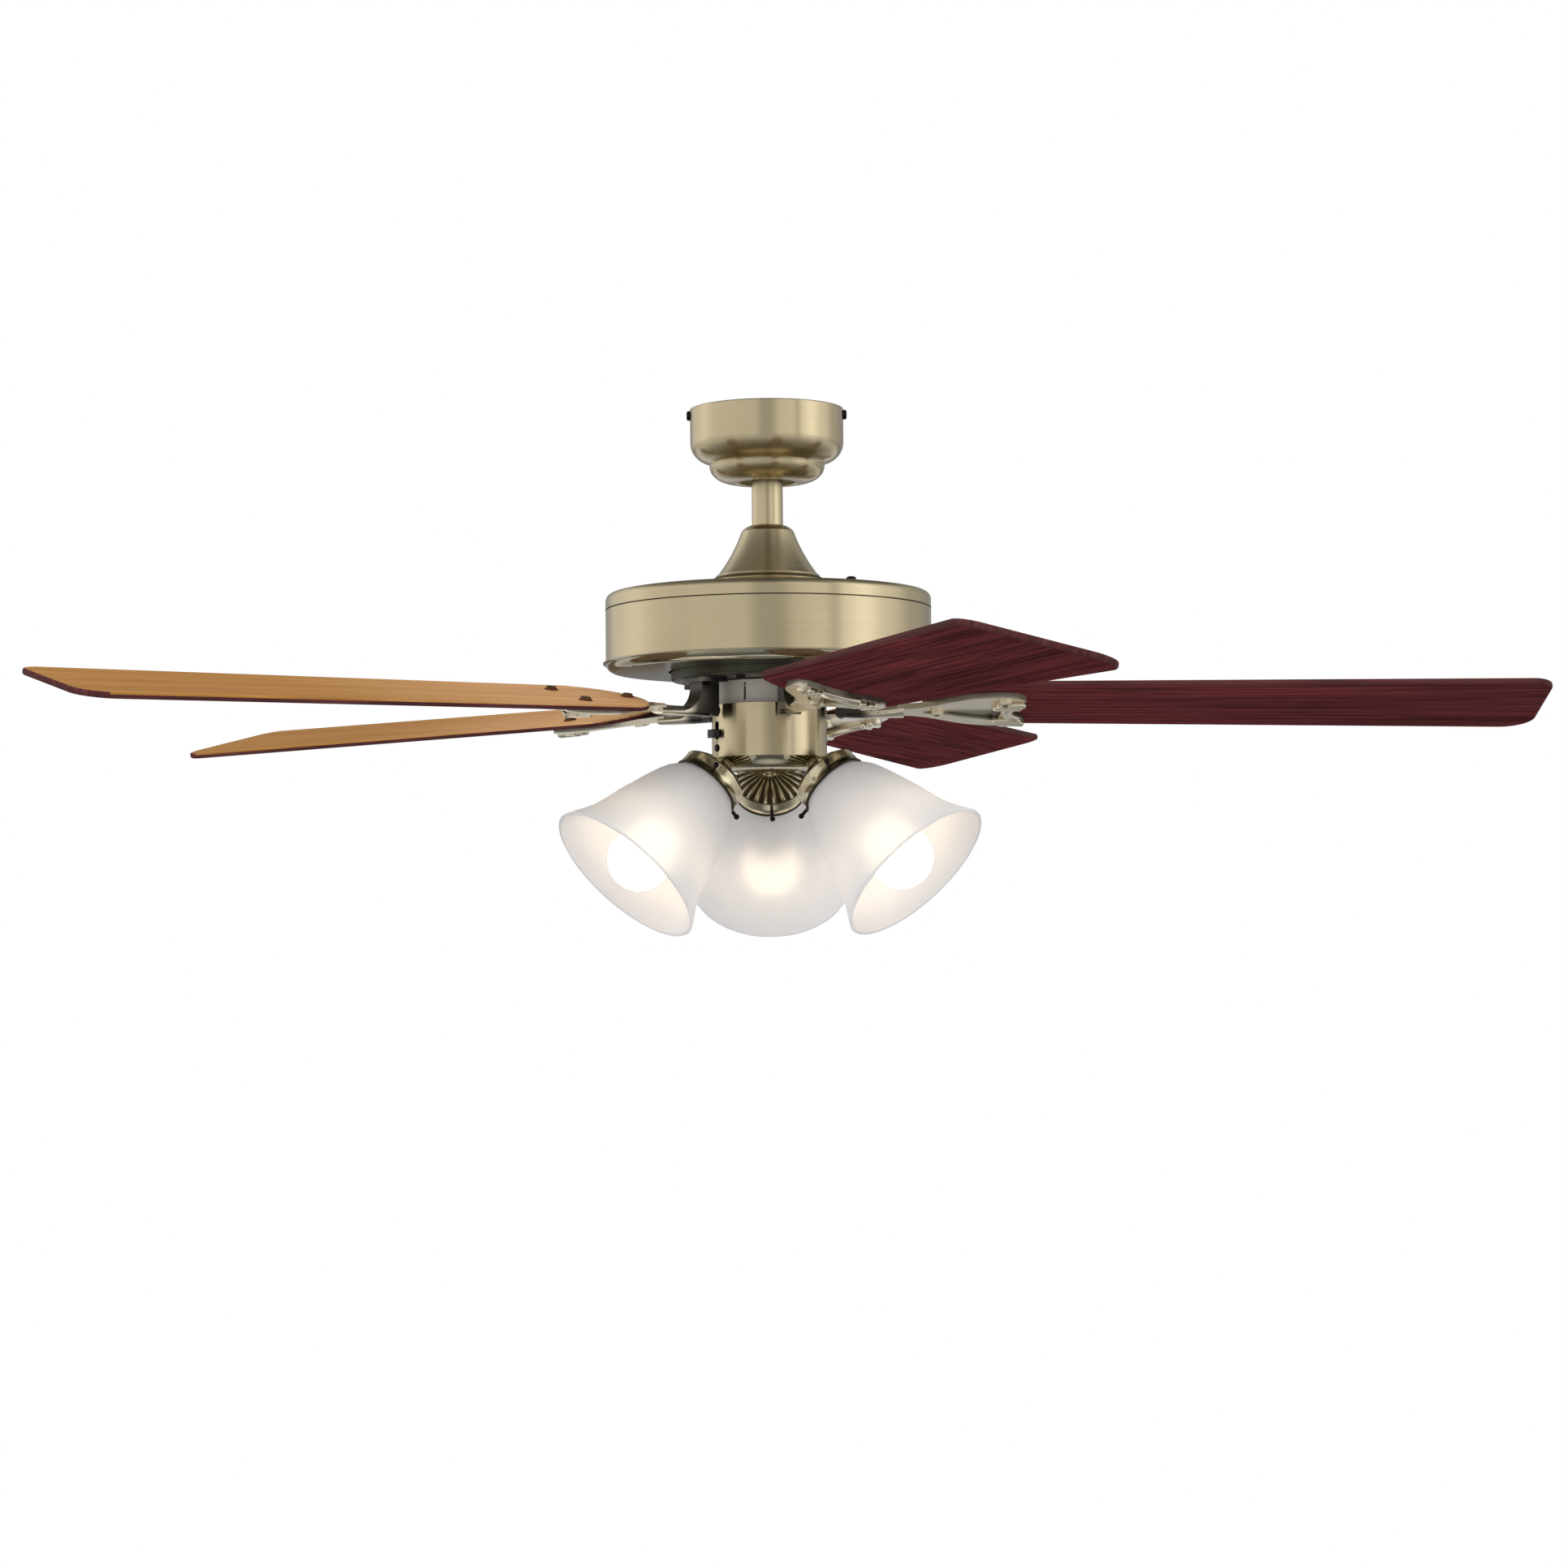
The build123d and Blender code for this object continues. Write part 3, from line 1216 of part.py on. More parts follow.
# ---- Assembly -------------------------------------------------------------------------------
def build_nodes():
    nodes = {
        "hanger_bracket": make_hanger_bracket(),
        "canopy": make_canopy(),
        "canopy_screws": make_canopy_screws(),
        "hanger_ball": make_hanger_ball(),
        "ball_pin": make_ball_pin(),
        "downrod": make_downrod(),
        "motor_coupling": make_motor_coupling(),
        "clevis_pin": make_clevis_pin(),
        "hairpin_clip": make_hairpin_clip(),
        "set_screws": make_set_screws(),
        "coupling_cover": make_coupling_cover(),
        "housing_top": make_housing_top(),
        "housing_wall": make_housing_wall(),
        "housing_bottom": make_housing_bottom(),
        "housing_screws": make_housing_screws(),
        "motor_shaft": make_motor_shaft(),
        "bearing_inner_rings": make_bearing_rings(bearing_inner_radius, shaft_radius),
        "bearing_outer_rings": make_bearing_rings(bearing_outer_radius,
                                                  bearing_inner_radius + bearing_gap),
        "stator_core": make_stator_core(),
        "stator_windings": make_stator_windings(),
        "rotor_cover_bottom": make_rotor_cover_bottom(),
        "rotor_cover_top": make_rotor_cover_top(),
        "rotor_cage": make_rotor_cage(),
        "rotor_screws": make_rotor_screws(),
        "rotor_hub": make_rotor_hub(),
        "iron_screws": make_iron_screws(),
        "blade_screws": make_blade_screws(),
        "blade_washers": make_blade_washers(),
        "neck": make_neck(),
        "switch_housing": make_switch_housing(),
        "reverse_switch_body": make_reverse_switch_body(),
        "reverse_switch_screws": make_reverse_switch_screws(),
        "reverse_switch_knob": make_reverse_switch_knob(),
        "capacitor": make_capacitor(),
        "light_pan": make_light_pan(),
        "light_stem": make_light_stem(),
        "lock_nuts": make_lock_nuts(),
        "thumb_screws": make_thumb_screws(),
    }
    blade = make_blade()
    iron = make_blade_iron()
    for number, (one_blade, one_iron) in enumerate(zip(around(blade, blade_count, blade_start),
                                                       around(iron, blade_count, blade_start))):
        nodes[f"blade_{number + 1}"] = one_blade
        nodes[f"blade_iron_{number + 1}"] = one_iron
    holder = holder_shape()
    for rod in screw_rod(thumb_screw_radius, holder_radius - 3, holder_radius + 3):
        holder = holder - rod
    socket = socket_shape()
    bulb = bulb_shape()
    shade = shade_shape()
    for number, azimuth in enumerate(lamp_azimuths):
        place = lamp_frame(azimuth)
        nodes[f"shade_holder_{number + 1}"] = place * holder
        nodes[f"lamp_socket_{number + 1}"] = place * socket
        nodes[f"bulb_{number + 1}"] = place * bulb
        nodes[f"shade_{number + 1}"] = place * shade
    return nodes


for node, shape in build_nodes().items():
    export_step(shape, f"parts/{node}.step")
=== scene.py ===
from math import acos, atan2, cos, pi, radians, sin, sqrt, tan

import bmesh
import bpy
from mathutils import Matrix, Vector


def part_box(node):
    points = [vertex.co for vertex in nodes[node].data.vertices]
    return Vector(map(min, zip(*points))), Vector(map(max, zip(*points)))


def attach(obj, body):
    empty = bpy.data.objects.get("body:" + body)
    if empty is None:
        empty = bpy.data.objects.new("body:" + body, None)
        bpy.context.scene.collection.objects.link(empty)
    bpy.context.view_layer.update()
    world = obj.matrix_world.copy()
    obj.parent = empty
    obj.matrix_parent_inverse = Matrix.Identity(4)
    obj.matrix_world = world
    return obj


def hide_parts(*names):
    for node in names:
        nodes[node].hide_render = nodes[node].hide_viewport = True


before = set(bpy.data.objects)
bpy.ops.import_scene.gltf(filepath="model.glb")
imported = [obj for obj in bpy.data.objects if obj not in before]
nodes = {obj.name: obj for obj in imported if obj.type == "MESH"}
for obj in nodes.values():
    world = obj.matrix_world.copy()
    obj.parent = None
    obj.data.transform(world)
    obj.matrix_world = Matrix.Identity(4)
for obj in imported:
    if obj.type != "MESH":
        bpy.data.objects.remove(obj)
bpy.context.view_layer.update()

# ---- Sizes in metres and angles in degrees -------------------------------------------------------
# The typed values repeat those of the CAD source, and the heights follow from the frame.
blade_count = 5
blade_start = -1.7
blade_pitch = 12.8
blade_droop = 0.4
hub_to_blades = 0.020
blade_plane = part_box("rotor_hub")[0].z - hub_to_blades

lamp_azimuths = (90.0, 210.0, 330.0)
lamp_tilt = 44.2
holder_drop = 0.0166
holder_reach = 0.0538
holder_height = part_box("switch_housing")[0].z - holder_drop

# Board: half widths towards the higher edge (lead) and the lower edge (trail) at the root, and how
# much each grows to the tip.
board_root, board_tip = 0.165, 0.660
board_lead, board_lead_growth = 0.0580, 0.0027
board_trail, board_trail_growth = 0.0494, 0.0202
board_root_skew = 0.006
board_nose = (0.131, -0.003)
board_root_radius, board_lead_radius, board_trail_radius = 0.006, 0.018, 0.028
board_half_thickness = 0.0025
board_arris = 0.0016
board_corner_steps, board_nose_steps = 14, 40

# The rounded edge shows oak up to this reach, along the trailing side and round the root.
oak_edge_reach, oak_edge_side, oak_edge_root = 0.64, 0.02, 0.15

# How far the veneer of the next board is shifted along and across the log, and the two faces of
# one board against each other.
veneer_step, veneer_slant, veneer_turn = 0.37, 1.7, 0.31

canopy_wall = 0.0012
canopy_radius, canopy_shoulder = 0.0659, 0.0180

holder_edge = 0.0300
holder_dome = 0.0120
holder_wall = 0.0011
holder_flutes = 22
boss_radius, dome_run, dome_steps = 0.0065, 0.0231, 22
nipple_radius, nipple_bore, nipple_end = 0.0046, 0.0032, -0.0242
flute_start, flute_end, flute_depth = 0.0085, 0.0290, 0.0010
rim_height, rim_radius = 0.0130, 0.0011

glass_wall = 0.0026
glass_steps = 128
turning_steps = 160


# ---- Shader helpers ------------------------------------------------------------------------------
class Nodes:
    """Short calls for the nodes of one tree."""

    def __init__(self, tree):
        self.tree = tree

    def node(self, kind, **values):
        made = self.tree.nodes.new(kind)
        for key, value in values.items():
            setattr(made, key, value)
        return made

    def link(self, source, target):
        self.tree.links.new(source, target)

    def put(self, target, value):
        if isinstance(value, bpy.types.NodeSocket):
            self.link(value, target)
        else:
            target.default_value = value

    def math(self, operation, *values):
        made = self.node("ShaderNodeMath", operation=operation)
        for socket, value in zip(made.inputs, values):
            self.put(socket, value)
        return made.outputs[0]

    def split(self, vector):
        made = self.node("ShaderNodeSeparateXYZ")
        self.link(vector, made.inputs[0])
        return made.outputs

    def ramp(self, value, stops):
        made = self.node("ShaderNodeValToRGB")
        made.color_ramp.interpolation = "EASE"
        elements = made.color_ramp.elements
        while len(elements) < len(stops):
            elements.new(0.5)
        for element, (place, colour) in zip(elements, stops):
            element.position = place
            element.color = (*colour, 1.0)
        self.put(made.inputs[0], value)
        return made.outputs[0]

    def levels(self, value, stops):
        return self.ramp(value, [(place, (level, level, level)) for place, level in stops])

    def mix_shaders(self, factor, first, second):
        made = self.node("ShaderNodeMixShader")
        for socket, value in zip(made.inputs, (factor, first, second)):
            self.put(socket, value)
        return made.outputs[0]

    def seen(self):
        """1 for what the camera sees, also through glass."""
        path = self.node("ShaderNodeLightPath").outputs
        return self.math("MAXIMUM", path["Is Camera Ray"], path["Is Transmission Ray"])


class Shader(Nodes):
    """A material with a Principled BSDF."""

    def __init__(self, name):
        self.material = bpy.data.materials.new(name)
        self.material.use_nodes = True
        super().__init__(self.material.node_tree)
        self.bsdf = self.tree.nodes["Principled BSDF"]

    def set(self, **values):
        for key, value in values.items():
            self.put(self.bsdf.inputs[key.replace("_", " ")], value)

    def mix(self, factor, first, second, blend="MIX"):
        made = self.node("ShaderNodeMix", data_type="RGBA", blend_type=blend)
        self.put(made.inputs[0], factor)
        for socket, value in ((made.inputs[6], first), (made.inputs[7], second)):
            self.put(socket, value if isinstance(value, bpy.types.NodeSocket) else (*value, 1.0))
        return made.outputs[2]

    def noise(self, vector, scale, detail=3.0, roughness=0.5, distortion=0.0):
        made = self.node("ShaderNodeTexNoise")
        self.put(made.inputs["Vector"], vector)
        made.inputs["Scale"].default_value = scale
        made.inputs["Detail"].default_value = detail
        made.inputs["Roughness"].default_value = roughness
        made.inputs["Distortion"].default_value = distortion
        return made.outputs["Fac"]

    def object_space(self):
        return self.node("ShaderNodeTexCoord").outputs["Object"]

    def uv(self, name):
        return self.node("ShaderNodeUVMap", uv_map=name).outputs[0]

    def axis_distance(self, place):
        """How far a place lies from the fan's vertical axis."""
        level = self.node("ShaderNodeVectorMath", operation="MULTIPLY")
        self.link(place, level.inputs[0])
        level.inputs[1].default_value = (1.0, 1.0, 0.0)
        length = self.node("ShaderNodeVectorMath", operation="LENGTH")
        self.link(level.outputs[0], length.inputs[0])
        return length.outputs["Value"]

    def stretched(self, vector, scale):
        made = self.node("ShaderNodeMapping")
        self.put(made.inputs["Vector"], vector)
        made.inputs["Scale"].default_value = scale
        return made.outputs[0]

    def remap(self, value, start, end, low=0.0, high=1.0, kind="SMOOTHSTEP"):
        """From low to high while the value goes from start to end."""
        made = self.node("ShaderNodeMapRange", interpolation_type=kind)
        self.put(made.inputs["Value"], value)
        made.inputs["From Min"].default_value = start
        made.inputs["From Max"].default_value = end
        made.inputs["To Min"].default_value = low
        made.inputs["To Max"].default_value = high
        return made.outputs[0]

    def range(self, share, low, high):
        return self.remap(share, 0.0, 1.0, low, high, "LINEAR")

    def bump(self, height, strength, distance):
        made = self.node("ShaderNodeBump")
        made.inputs["Strength"].default_value = strength
        made.inputs["Distance"].default_value = distance
        self.put(made.inputs["Height"], height)
        self.link(made.outputs[0], self.bsdf.inputs["Normal"])


def srgb(red, green, blue):
    """Linear colour from screen levels of 0 to 255."""
    linear = []
    for value in (red, green, blue):
        share = value / 255.0
        linear.append(share / 12.92 if share <= 0.04045 else ((share + 0.055) / 1.055) ** 2.4)
    return tuple(linear)


# ---- Metals and coats ----------------------------------------------------------------------------
def spun_coordinates(shader, along=4.0, across=900.0):
    """Fine lines that run round the fan's axis, as a lathe or a brush leaves them."""
    space = shader.object_space()
    x, y, z = shader.split(space)
    joined = shader.node("ShaderNodeCombineXYZ")
    shader.link(shader.math("MULTIPLY", x, along), joined.inputs[0])
    shader.link(shader.math("MULTIPLY", y, along), joined.inputs[1])
    outward = shader.math("ADD", shader.axis_distance(space), z)
    shader.link(shader.math("MULTIPLY", outward, across), joined.inputs[2])
    return joined.outputs[0]


def brushed_brass(name, light, dark, roughness, anisotropy):
    shader = Shader(name)
    lines = shader.noise(spun_coordinates(shader), 1.0, 2.0, 0.6)
    cloud = shader.noise(shader.object_space(), 22.0, 3.0, 0.55)
    tone = shader.mix(shader.range(cloud, 0.15, 0.75), dark, light)
    tone = shader.mix(shader.range(lines, 0.0, 0.20), tone, [value * 0.80 for value in light])
    shader.set(Base_Color=tone, Metallic=1.0, Anisotropic=anisotropy, Anisotropic_Rotation=0.25,
               Roughness=shader.range(lines, roughness - 0.03, roughness + 0.05))
    tangent = shader.node("ShaderNodeTangent", direction_type="RADIAL", axis="Z")
    shader.link(tangent.outputs[0], shader.bsdf.inputs["Tangent"])
    shader.bump(lines, 0.05, 0.0002)
    return shader.material


def polished_metal(name, light, dark, roughness, grain):
    shader = Shader(name)
    space = shader.object_space()
    cloud = shader.noise(space, grain, 4.0, 0.6)
    smudge = shader.noise(space, grain * 0.25, 2.0, 0.5, 0.6)
    shader.set(Base_Color=shader.mix(shader.range(smudge, 0.0, 1.0), dark, light), Metallic=1.0,
               Roughness=shader.range(cloud, roughness * 0.7, roughness * 1.4))
    shader.bump(cloud, 0.04, 0.0004)
    return shader.material


def cast_nickel():
    """Bright plating, with painted shade on one side of the plate's recess and on heel and foot
    under the motor.

    The UV map "place" holds a point's y and z in the blade's own frame, and "reach" its x.
    """
    shader = Shader("iron_nickel")
    space = shader.object_space()
    cloud = shader.noise(space, 90.0, 4.0, 0.6)
    smudge = shader.noise(space, 24.0, 2.0, 0.5, 0.6)
    side, height = shader.split(shader.uv("place"))[:2]
    along = shader.split(shader.uv("reach"))[0]
    # Painted shade: the floor of the plate's recess darkens on its lower side only.
    pocket_shade = shader.math("MULTIPLY", shader.remap(height, -0.0066, -0.0054),
                         shader.remap(side, -0.003, 0.009))
    pocket_shade = shader.math("MULTIPLY", pocket_shade, shader.remap(along, 0.142, 0.156))
    pocket_shade = shader.math("MULTIPLY", pocket_shade, shader.range(smudge, 0.6, 1.0))
    tone = shader.mix(smudge, srgb(230, 220, 196), srgb(246, 238, 218))
    tone = shader.mix(pocket_shade, tone, srgb(84, 84, 70))
    # Painted shade near the axis, on heel and foot under the motor.
    clear_of_hub_shade = shader.remap(shader.axis_distance(space), 0.078, 0.092)
    tone = shader.mix(clear_of_hub_shade, srgb(70, 66, 60), tone)
    shader.set(Base_Color=tone, Metallic=0.88, Roughness=shader.range(cloud, 0.15, 0.30))
    shader.bump(cloud, 0.06, 0.0004)
    return shader.material


def dull_coat(name, light, dark, roughness, metallic=0.0, grain=120.0, bump=0.12):
    shader = Shader(name)
    cloud = shader.noise(shader.object_space(), grain, 4.0, 0.6)
    shader.set(Base_Color=shader.mix(shader.range(cloud, 0.1, 0.9), dark, light),
               Metallic=metallic,
               Roughness=shader.range(cloud, roughness * 0.85, min(1.0, roughness * 1.15)))
    shader.bump(cloud, bump, 0.0005)
    return shader.material


def striped(name, light, dark, roughness, metallic, scale):
    """Stacked sheets or wound wire: close lines across the height."""
    shader = Shader(name)
    wave = shader.node("ShaderNodeTexWave", bands_direction="Z")
    shader.link(shader.object_space(), wave.inputs["Vector"])
    wave.inputs["Scale"].default_value = scale
    wave.inputs["Distortion"].default_value = 1.2
    wave.inputs["Detail"].default_value = 2.0
    line = wave.outputs["Fac"]
    shader.set(Base_Color=shader.mix(line, dark, light), Metallic=metallic,
               Roughness=shader.range(line, roughness, roughness + 0.15))
    shader.bump(line, 0.4, 0.0004)
    return shader.material


brass = brushed_brass("antique_brass", srgb(220, 205, 170), srgb(205, 189, 152), 0.22, 0.9)
# Polished brass of the holders, also a painted highlight line on the cover's upper ring.
holder_brass_and_highlight = polished_metal("holder_brass_and_highlight", srgb(238, 228, 200), srgb(212, 198, 162), 0.20, 90.0)
polished = polished_metal("polished_brass", srgb(206, 199, 176), srgb(180, 172, 146), 0.10, 26.0)
nickel = cast_nickel()
zinc = dull_coat("zinc", srgb(160, 156, 146), srgb(138, 134, 124), 0.45, 0.6, 60.0, 0.05)
# The neck's colour is set far lighter than its grey metal: painted light against the shade under
# the hub.
neck_painted_light = dull_coat("neck_painted_light", srgb(236, 230, 218), srgb(220, 213, 200), 0.5, 0.0, 60.0, 0.05)
# Dark bronze of the holder's shoulder line and rim, and the painted shadow of the lid's seam.
bead_bronze_and_seam_shadow = dull_coat("bead_bronze_and_seam_shadow", srgb(78, 66, 46), srgb(48, 40, 28), 0.32, 0.8, 90.0, 0.05)
# Patina in the holder's flutes, also the painted shade of a groove on the cover's middle ring.
groove_bronze_and_shade = dull_coat("groove_bronze_and_shade", srgb(104, 88, 58), srgb(66, 54, 36), 0.35, 0.8, 90.0,
                          0.05)
bronze = dull_coat("bronze_screw", srgb(120, 92, 58), srgb(84, 62, 40), 0.35, 0.8)
black_iron = dull_coat("black_iron", srgb(92, 92, 80), srgb(58, 58, 50), 0.34, 0.8)
dark_steel = dull_coat("dark_steel", srgb(46, 42, 36), srgb(20, 18, 16), 0.38, 0.8)
aluminium = dull_coat("cast_aluminium", srgb(176, 176, 174), srgb(140, 140, 140), 0.5, 1.0)
laminations = striped("laminations", srgb(108, 110, 116), srgb(58, 60, 64), 0.4, 0.8, 220.0)
copper = striped("copper_coil", srgb(196, 120, 74), srgb(128, 62, 34), 0.35, 0.7, 160.0)
black_plastic = dull_coat("black_plastic", srgb(34, 33, 32), srgb(18, 18, 18), 0.42, 0.0, 300.0)
fibre = dull_coat("fibre", srgb(130, 60, 44), srgb(86, 34, 26), 0.7, 0.0, 500.0, 0.3)
porcelain = dull_coat("porcelain", srgb(238, 236, 228), srgb(224, 220, 208), 0.2, 0.0, 40.0, 0.03)


# ---- Wood ----------------------------------------------------------------------------------------
def wood(name, dark, middle, light, streak, contours, roughness, specular, tip_tint=None):
    """Veneer with its grain along the board, from the board's own UV in metres.

    contours is how many dark lines the figure folds into, and tip_tint the colour by which the
    stain deepens from the root to the outer half. Metal mirrors the veneer darker than it is,
    a painted shade in its reflections.
    """
    shader = Shader(name)
    uv = shader.uv("grain")
    long_grain = shader.noise(shader.stretched(uv, (2.2, 42.0, 1.0)), 1.0, 5.0, 0.62, 0.9)
    fine_grain = shader.noise(shader.stretched(uv, (5.0, 300.0, 1.0)), 1.0, 3.0, 0.6, 0.2)
    broad = shader.noise(shader.stretched(uv, (1.1, 13.0, 1.0)), 1.0, 2.0, 0.5, 0.5)
    figure = shader.math("FRACT", shader.math("MULTIPLY", long_grain, contours))
    lines = shader.math("PINGPONG", figure, 0.5)
    tone = shader.ramp(long_grain, ((0.30, dark), (0.5, middle), (0.70, light)))
    tone = shader.mix(shader.range(broad, 0.0, 0.85), tone, streak)
    tone = shader.mix(shader.math("MULTIPLY", lines, 0.45), tone, dark)
    pores = shader.levels(fine_grain, ((0.36, 0.3), (0.60, 1.0)))
    tone = shader.mix(pores, dark, tone)
    if tip_tint:
        reach = shader.remap(shader.axis_distance(shader.object_space()), 0.17, 0.45,
                             kind="LINEAR")
        tone = shader.mix(1.0, tone, shader.mix(reach, (1.0, 1.0, 1.0), tip_tint), "MULTIPLY")
    # Painted shade: what glossy rays see of the veneer is darkened by 80 %.
    reflected_shade = shader.node("ShaderNodeLightPath").outputs["Is Glossy Ray"]
    tone = shader.mix(shader.math("MULTIPLY", reflected_shade, 0.80), tone, (0.06, 0.06, 0.055))
    shader.set(Base_Color=tone, Specular_IOR_Level=specular,
               Roughness=shader.range(fine_grain, roughness, roughness + 0.14))
    shader.bump(fine_grain, 0.10, 0.0003)
    return shader.material


mahogany = wood("mahogany_veneer", srgb(46, 28, 28), srgb(106, 56, 58), srgb(146, 70, 72),
                srgb(118, 50, 56), 7.0, 0.55, 0.0)
oak = wood("oak_veneer", srgb(184, 136, 92), srgb(216, 168, 120), srgb(230, 184, 136),
           srgb(220, 168, 108), 6.0, 0.50, 0.10, (0.68, 0.58, 0.30))
board_edge = wood("board_edge", srgb(66, 38, 38), srgb(98, 56, 56), srgb(116, 68, 66),
                  srgb(96, 50, 52), 3.0, 0.55, 0.05)


# ---- Glass and lamp ------------------------------------------------------------------------------
def frosted_glass(name, dark, light):
    """Etched opal glass, which lets the lamp glow through it."""
    shader = Shader(name)
    space = shader.object_space()
    cloud = shader.noise(space, 14.0, 3.0, 0.5)
    grit = shader.noise(space, 900.0, 2.0, 0.6)
    shader.set(Base_Color=shader.mix(cloud, dark, light), Roughness=shader.range(grit, 0.36, 0.44),
               Transmission_Weight=0.44, IOR=1.30, Specular_IOR_Level=0.3)
    shader.bump(grit, 0.05, 0.0002)
    translucent = shader.node("ShaderNodeBsdfTranslucent")
    translucent.inputs["Color"].default_value = (0.95, 0.94, 0.94, 1.0)
    mixed = shader.mix_shaders(0.22, shader.bsdf.outputs[0], translucent.outputs[0])
    shader.link(mixed, shader.tree.nodes["Material Output"].inputs["Surface"])
    return shader.material


def lit_bulb():
    """The globe glows and the neck behind it stays dim, by the reach along the lamp's axis."""
    shader = Shader("lit_bulb")
    space = shader.object_space()
    cloud = shader.noise(space, 30.0, 2.0, 0.5)
    drop = radians(lamp_tilt)
    level = shader.math("SUBTRACT", shader.axis_distance(space), holder_reach)
    below = shader.math("SUBTRACT", holder_height, shader.split(space)[2])
    reach = shader.math("ADD", shader.math("MULTIPLY", level, cos(drop)),
                        shader.math("MULTIPLY", below, sin(drop)))
    shader.set(Base_Color=shader.mix(cloud, srgb(250, 246, 236), srgb(255, 252, 246)),
               Roughness=0.3, Emission_Color=(1.0, 0.80, 0.52, 1.0),
               Emission_Strength=shader.remap(reach, 0.062, 0.088, 0.30, 6.0))
    return shader.material


glass = frosted_glass("frosted_glass", srgb(238, 240, 245), srgb(246, 247, 250))
# The inner wall takes a darker copy of the same glass: painted shade inside the bell.
glass_inside_shaded = frosted_glass("frosted_glass_inside", srgb(204, 206, 214), srgb(216, 217, 223))
bulb_light = lit_bulb()


# ---- Mesh helpers --------------------------------------------------------------------------------
def new_object(name, bm, materials, smooth=True):
    mesh = bpy.data.meshes.new(name)
    bm.to_mesh(mesh)
    bm.free()
    for material in materials:
        mesh.materials.append(material)
    if smooth:
        mesh.polygons.foreach_set("use_smooth", [True] * len(mesh.polygons))
    made = bpy.data.objects.new(name, mesh)
    bpy.context.scene.collection.objects.link(made)
    return made


def lathe(name, profile, steps, materials, matrix=Matrix.Identity(4), shape=None, paint=None):
    """Closed profile of (radius, height) turned about the local Z axis.

    shape moves a point of the profile by its angle, and paint picks the material of a face.
    """
    bm = bmesh.new()
    rings = []
    for step in range(steps):
        angle = 2 * pi * step / steps
        ring = []
        for radius, height in profile:
            if shape:
                radius, height = shape(radius, height, angle)
            ring.append(bm.verts.new((radius * cos(angle), radius * sin(angle), height)))
        rings.append(ring)
    count = len(profile)
    for step in range(steps):
        here, there = rings[step], rings[(step + 1) % steps]
        for row in range(count):
            after = (row + 1) % count
            face = bm.faces.new((here[row], there[row], there[after], here[after]))
            if paint:
                face.material_index = paint(row, (step + 0.5) / steps)
    bmesh.ops.remove_doubles(bm, verts=bm.verts, dist=1e-6)
    bmesh.ops.recalc_face_normals(bm, faces=bm.faces)
    bm.transform(matrix)
    return new_object(name, bm, materials)


def arc(centre, half_width, half_height, turns):
    """Profile points of an ellipse at the given degrees."""
    return [(centre[0] + half_width * cos(radians(turn)),
             centre[1] + half_height * sin(radians(turn))) for turn in turns]


def curve_points(points, count):
    """Smooth line through (radius, height) points, by Catmull-Rom."""
    line = []
    padded = [points[0]] + list(points) + [points[-1]]
    for index in range(1, len(padded) - 2):
        before, start, end, after = (Vector(padded[index + step]) for step in (-1, 0, 1, 2))
        for step in range(count):
            share = step / count
            line.append(tuple(0.5 * ((2 * start) + (end - before) * share
                                     + (2 * before - 5 * start + 4 * end - after) * share ** 2
                                     + (3 * start - before - 3 * end + after) * share ** 3)))
    line.append(tuple(points[-1]))
    return line


def with_inside(line, wall):
    """Closed profile of a sheet, from its outer line and a wall on the left of the line's run."""
    inner = []
    for index, point in enumerate(line):
        before = Vector(line[max(0, index - 1)])
        after = Vector(line[min(len(line) - 1, index + 1)])
        ahead = (after - before).normalized()
        inner.append((point[0] - ahead.y * wall, point[1] + ahead.x * wall))
    return line + list(reversed(inner))


def lamp_matrix(azimuth):
    """Frame on the holder's shoulder: +Z out along the lamp axis, +X across it."""
    turn = radians(azimuth)
    drop = radians(lamp_tilt)
    out = Vector((cos(turn) * cos(drop), sin(turn) * cos(drop), -sin(drop)))
    across = Vector((-sin(turn), cos(turn), 0))
    third = out.cross(across)
    place = Matrix((across, third, out)).transposed().to_4x4()
    place.translation = Vector((cos(turn) * holder_reach, sin(turn) * holder_reach,
                                holder_height))
    return place


def blade_matrix(number):
    """The blade's own frame: +X out from the hub, turned, drooped and pitched."""
    turn = Matrix.Rotation(radians(blade_start + 360.0 * number / blade_count), 4, "Z")
    droop = Matrix.Rotation(radians(blade_droop), 4, "Y")
    pitch = Matrix.Rotation(-radians(blade_pitch), 4, "X")
    return turn @ Matrix.Translation((0, 0, blade_plane)) @ droop @ pitch


# ---- Blades --------------------------------------------------------------------------------------
def rounded_corner(before, corner, after, radius, count):
    back = (before - corner).normalized()
    ahead = (after - corner).normalized()
    half = acos(max(-1.0, min(1.0, back.dot(ahead)))) / 2
    reach = radius / tan(half)
    centre = corner + (back + ahead).normalized() * radius / sin(half)
    start = corner + back * reach - centre
    end = corner + ahead * reach - centre
    first = atan2(start.y, start.x)
    turn = atan2(end.y, end.x) - first
    turn = (turn + pi) % (2 * pi) - pi
    return [centre + Vector((radius * cos(first + turn * step / count),
                             radius * sin(first + turn * step / count)))
            for step in range(count + 1)]


def circle_through(first, second, third):
    ax, ay, bx, by, cx, cy = *first, *second, *third
    base = 2 * (ax * (by - cy) + bx * (cy - ay) + cx * (ay - by))
    squares = [point.length_squared for point in (first, second, third)]
    x = (squares[0] * (by - cy) + squares[1] * (cy - ay) + squares[2] * (ay - by)) / base
    y = (squares[0] * (cx - bx) + squares[1] * (ax - cx) + squares[2] * (bx - ax)) / base
    centre = Vector((x, y))
    return centre, (first - centre).length


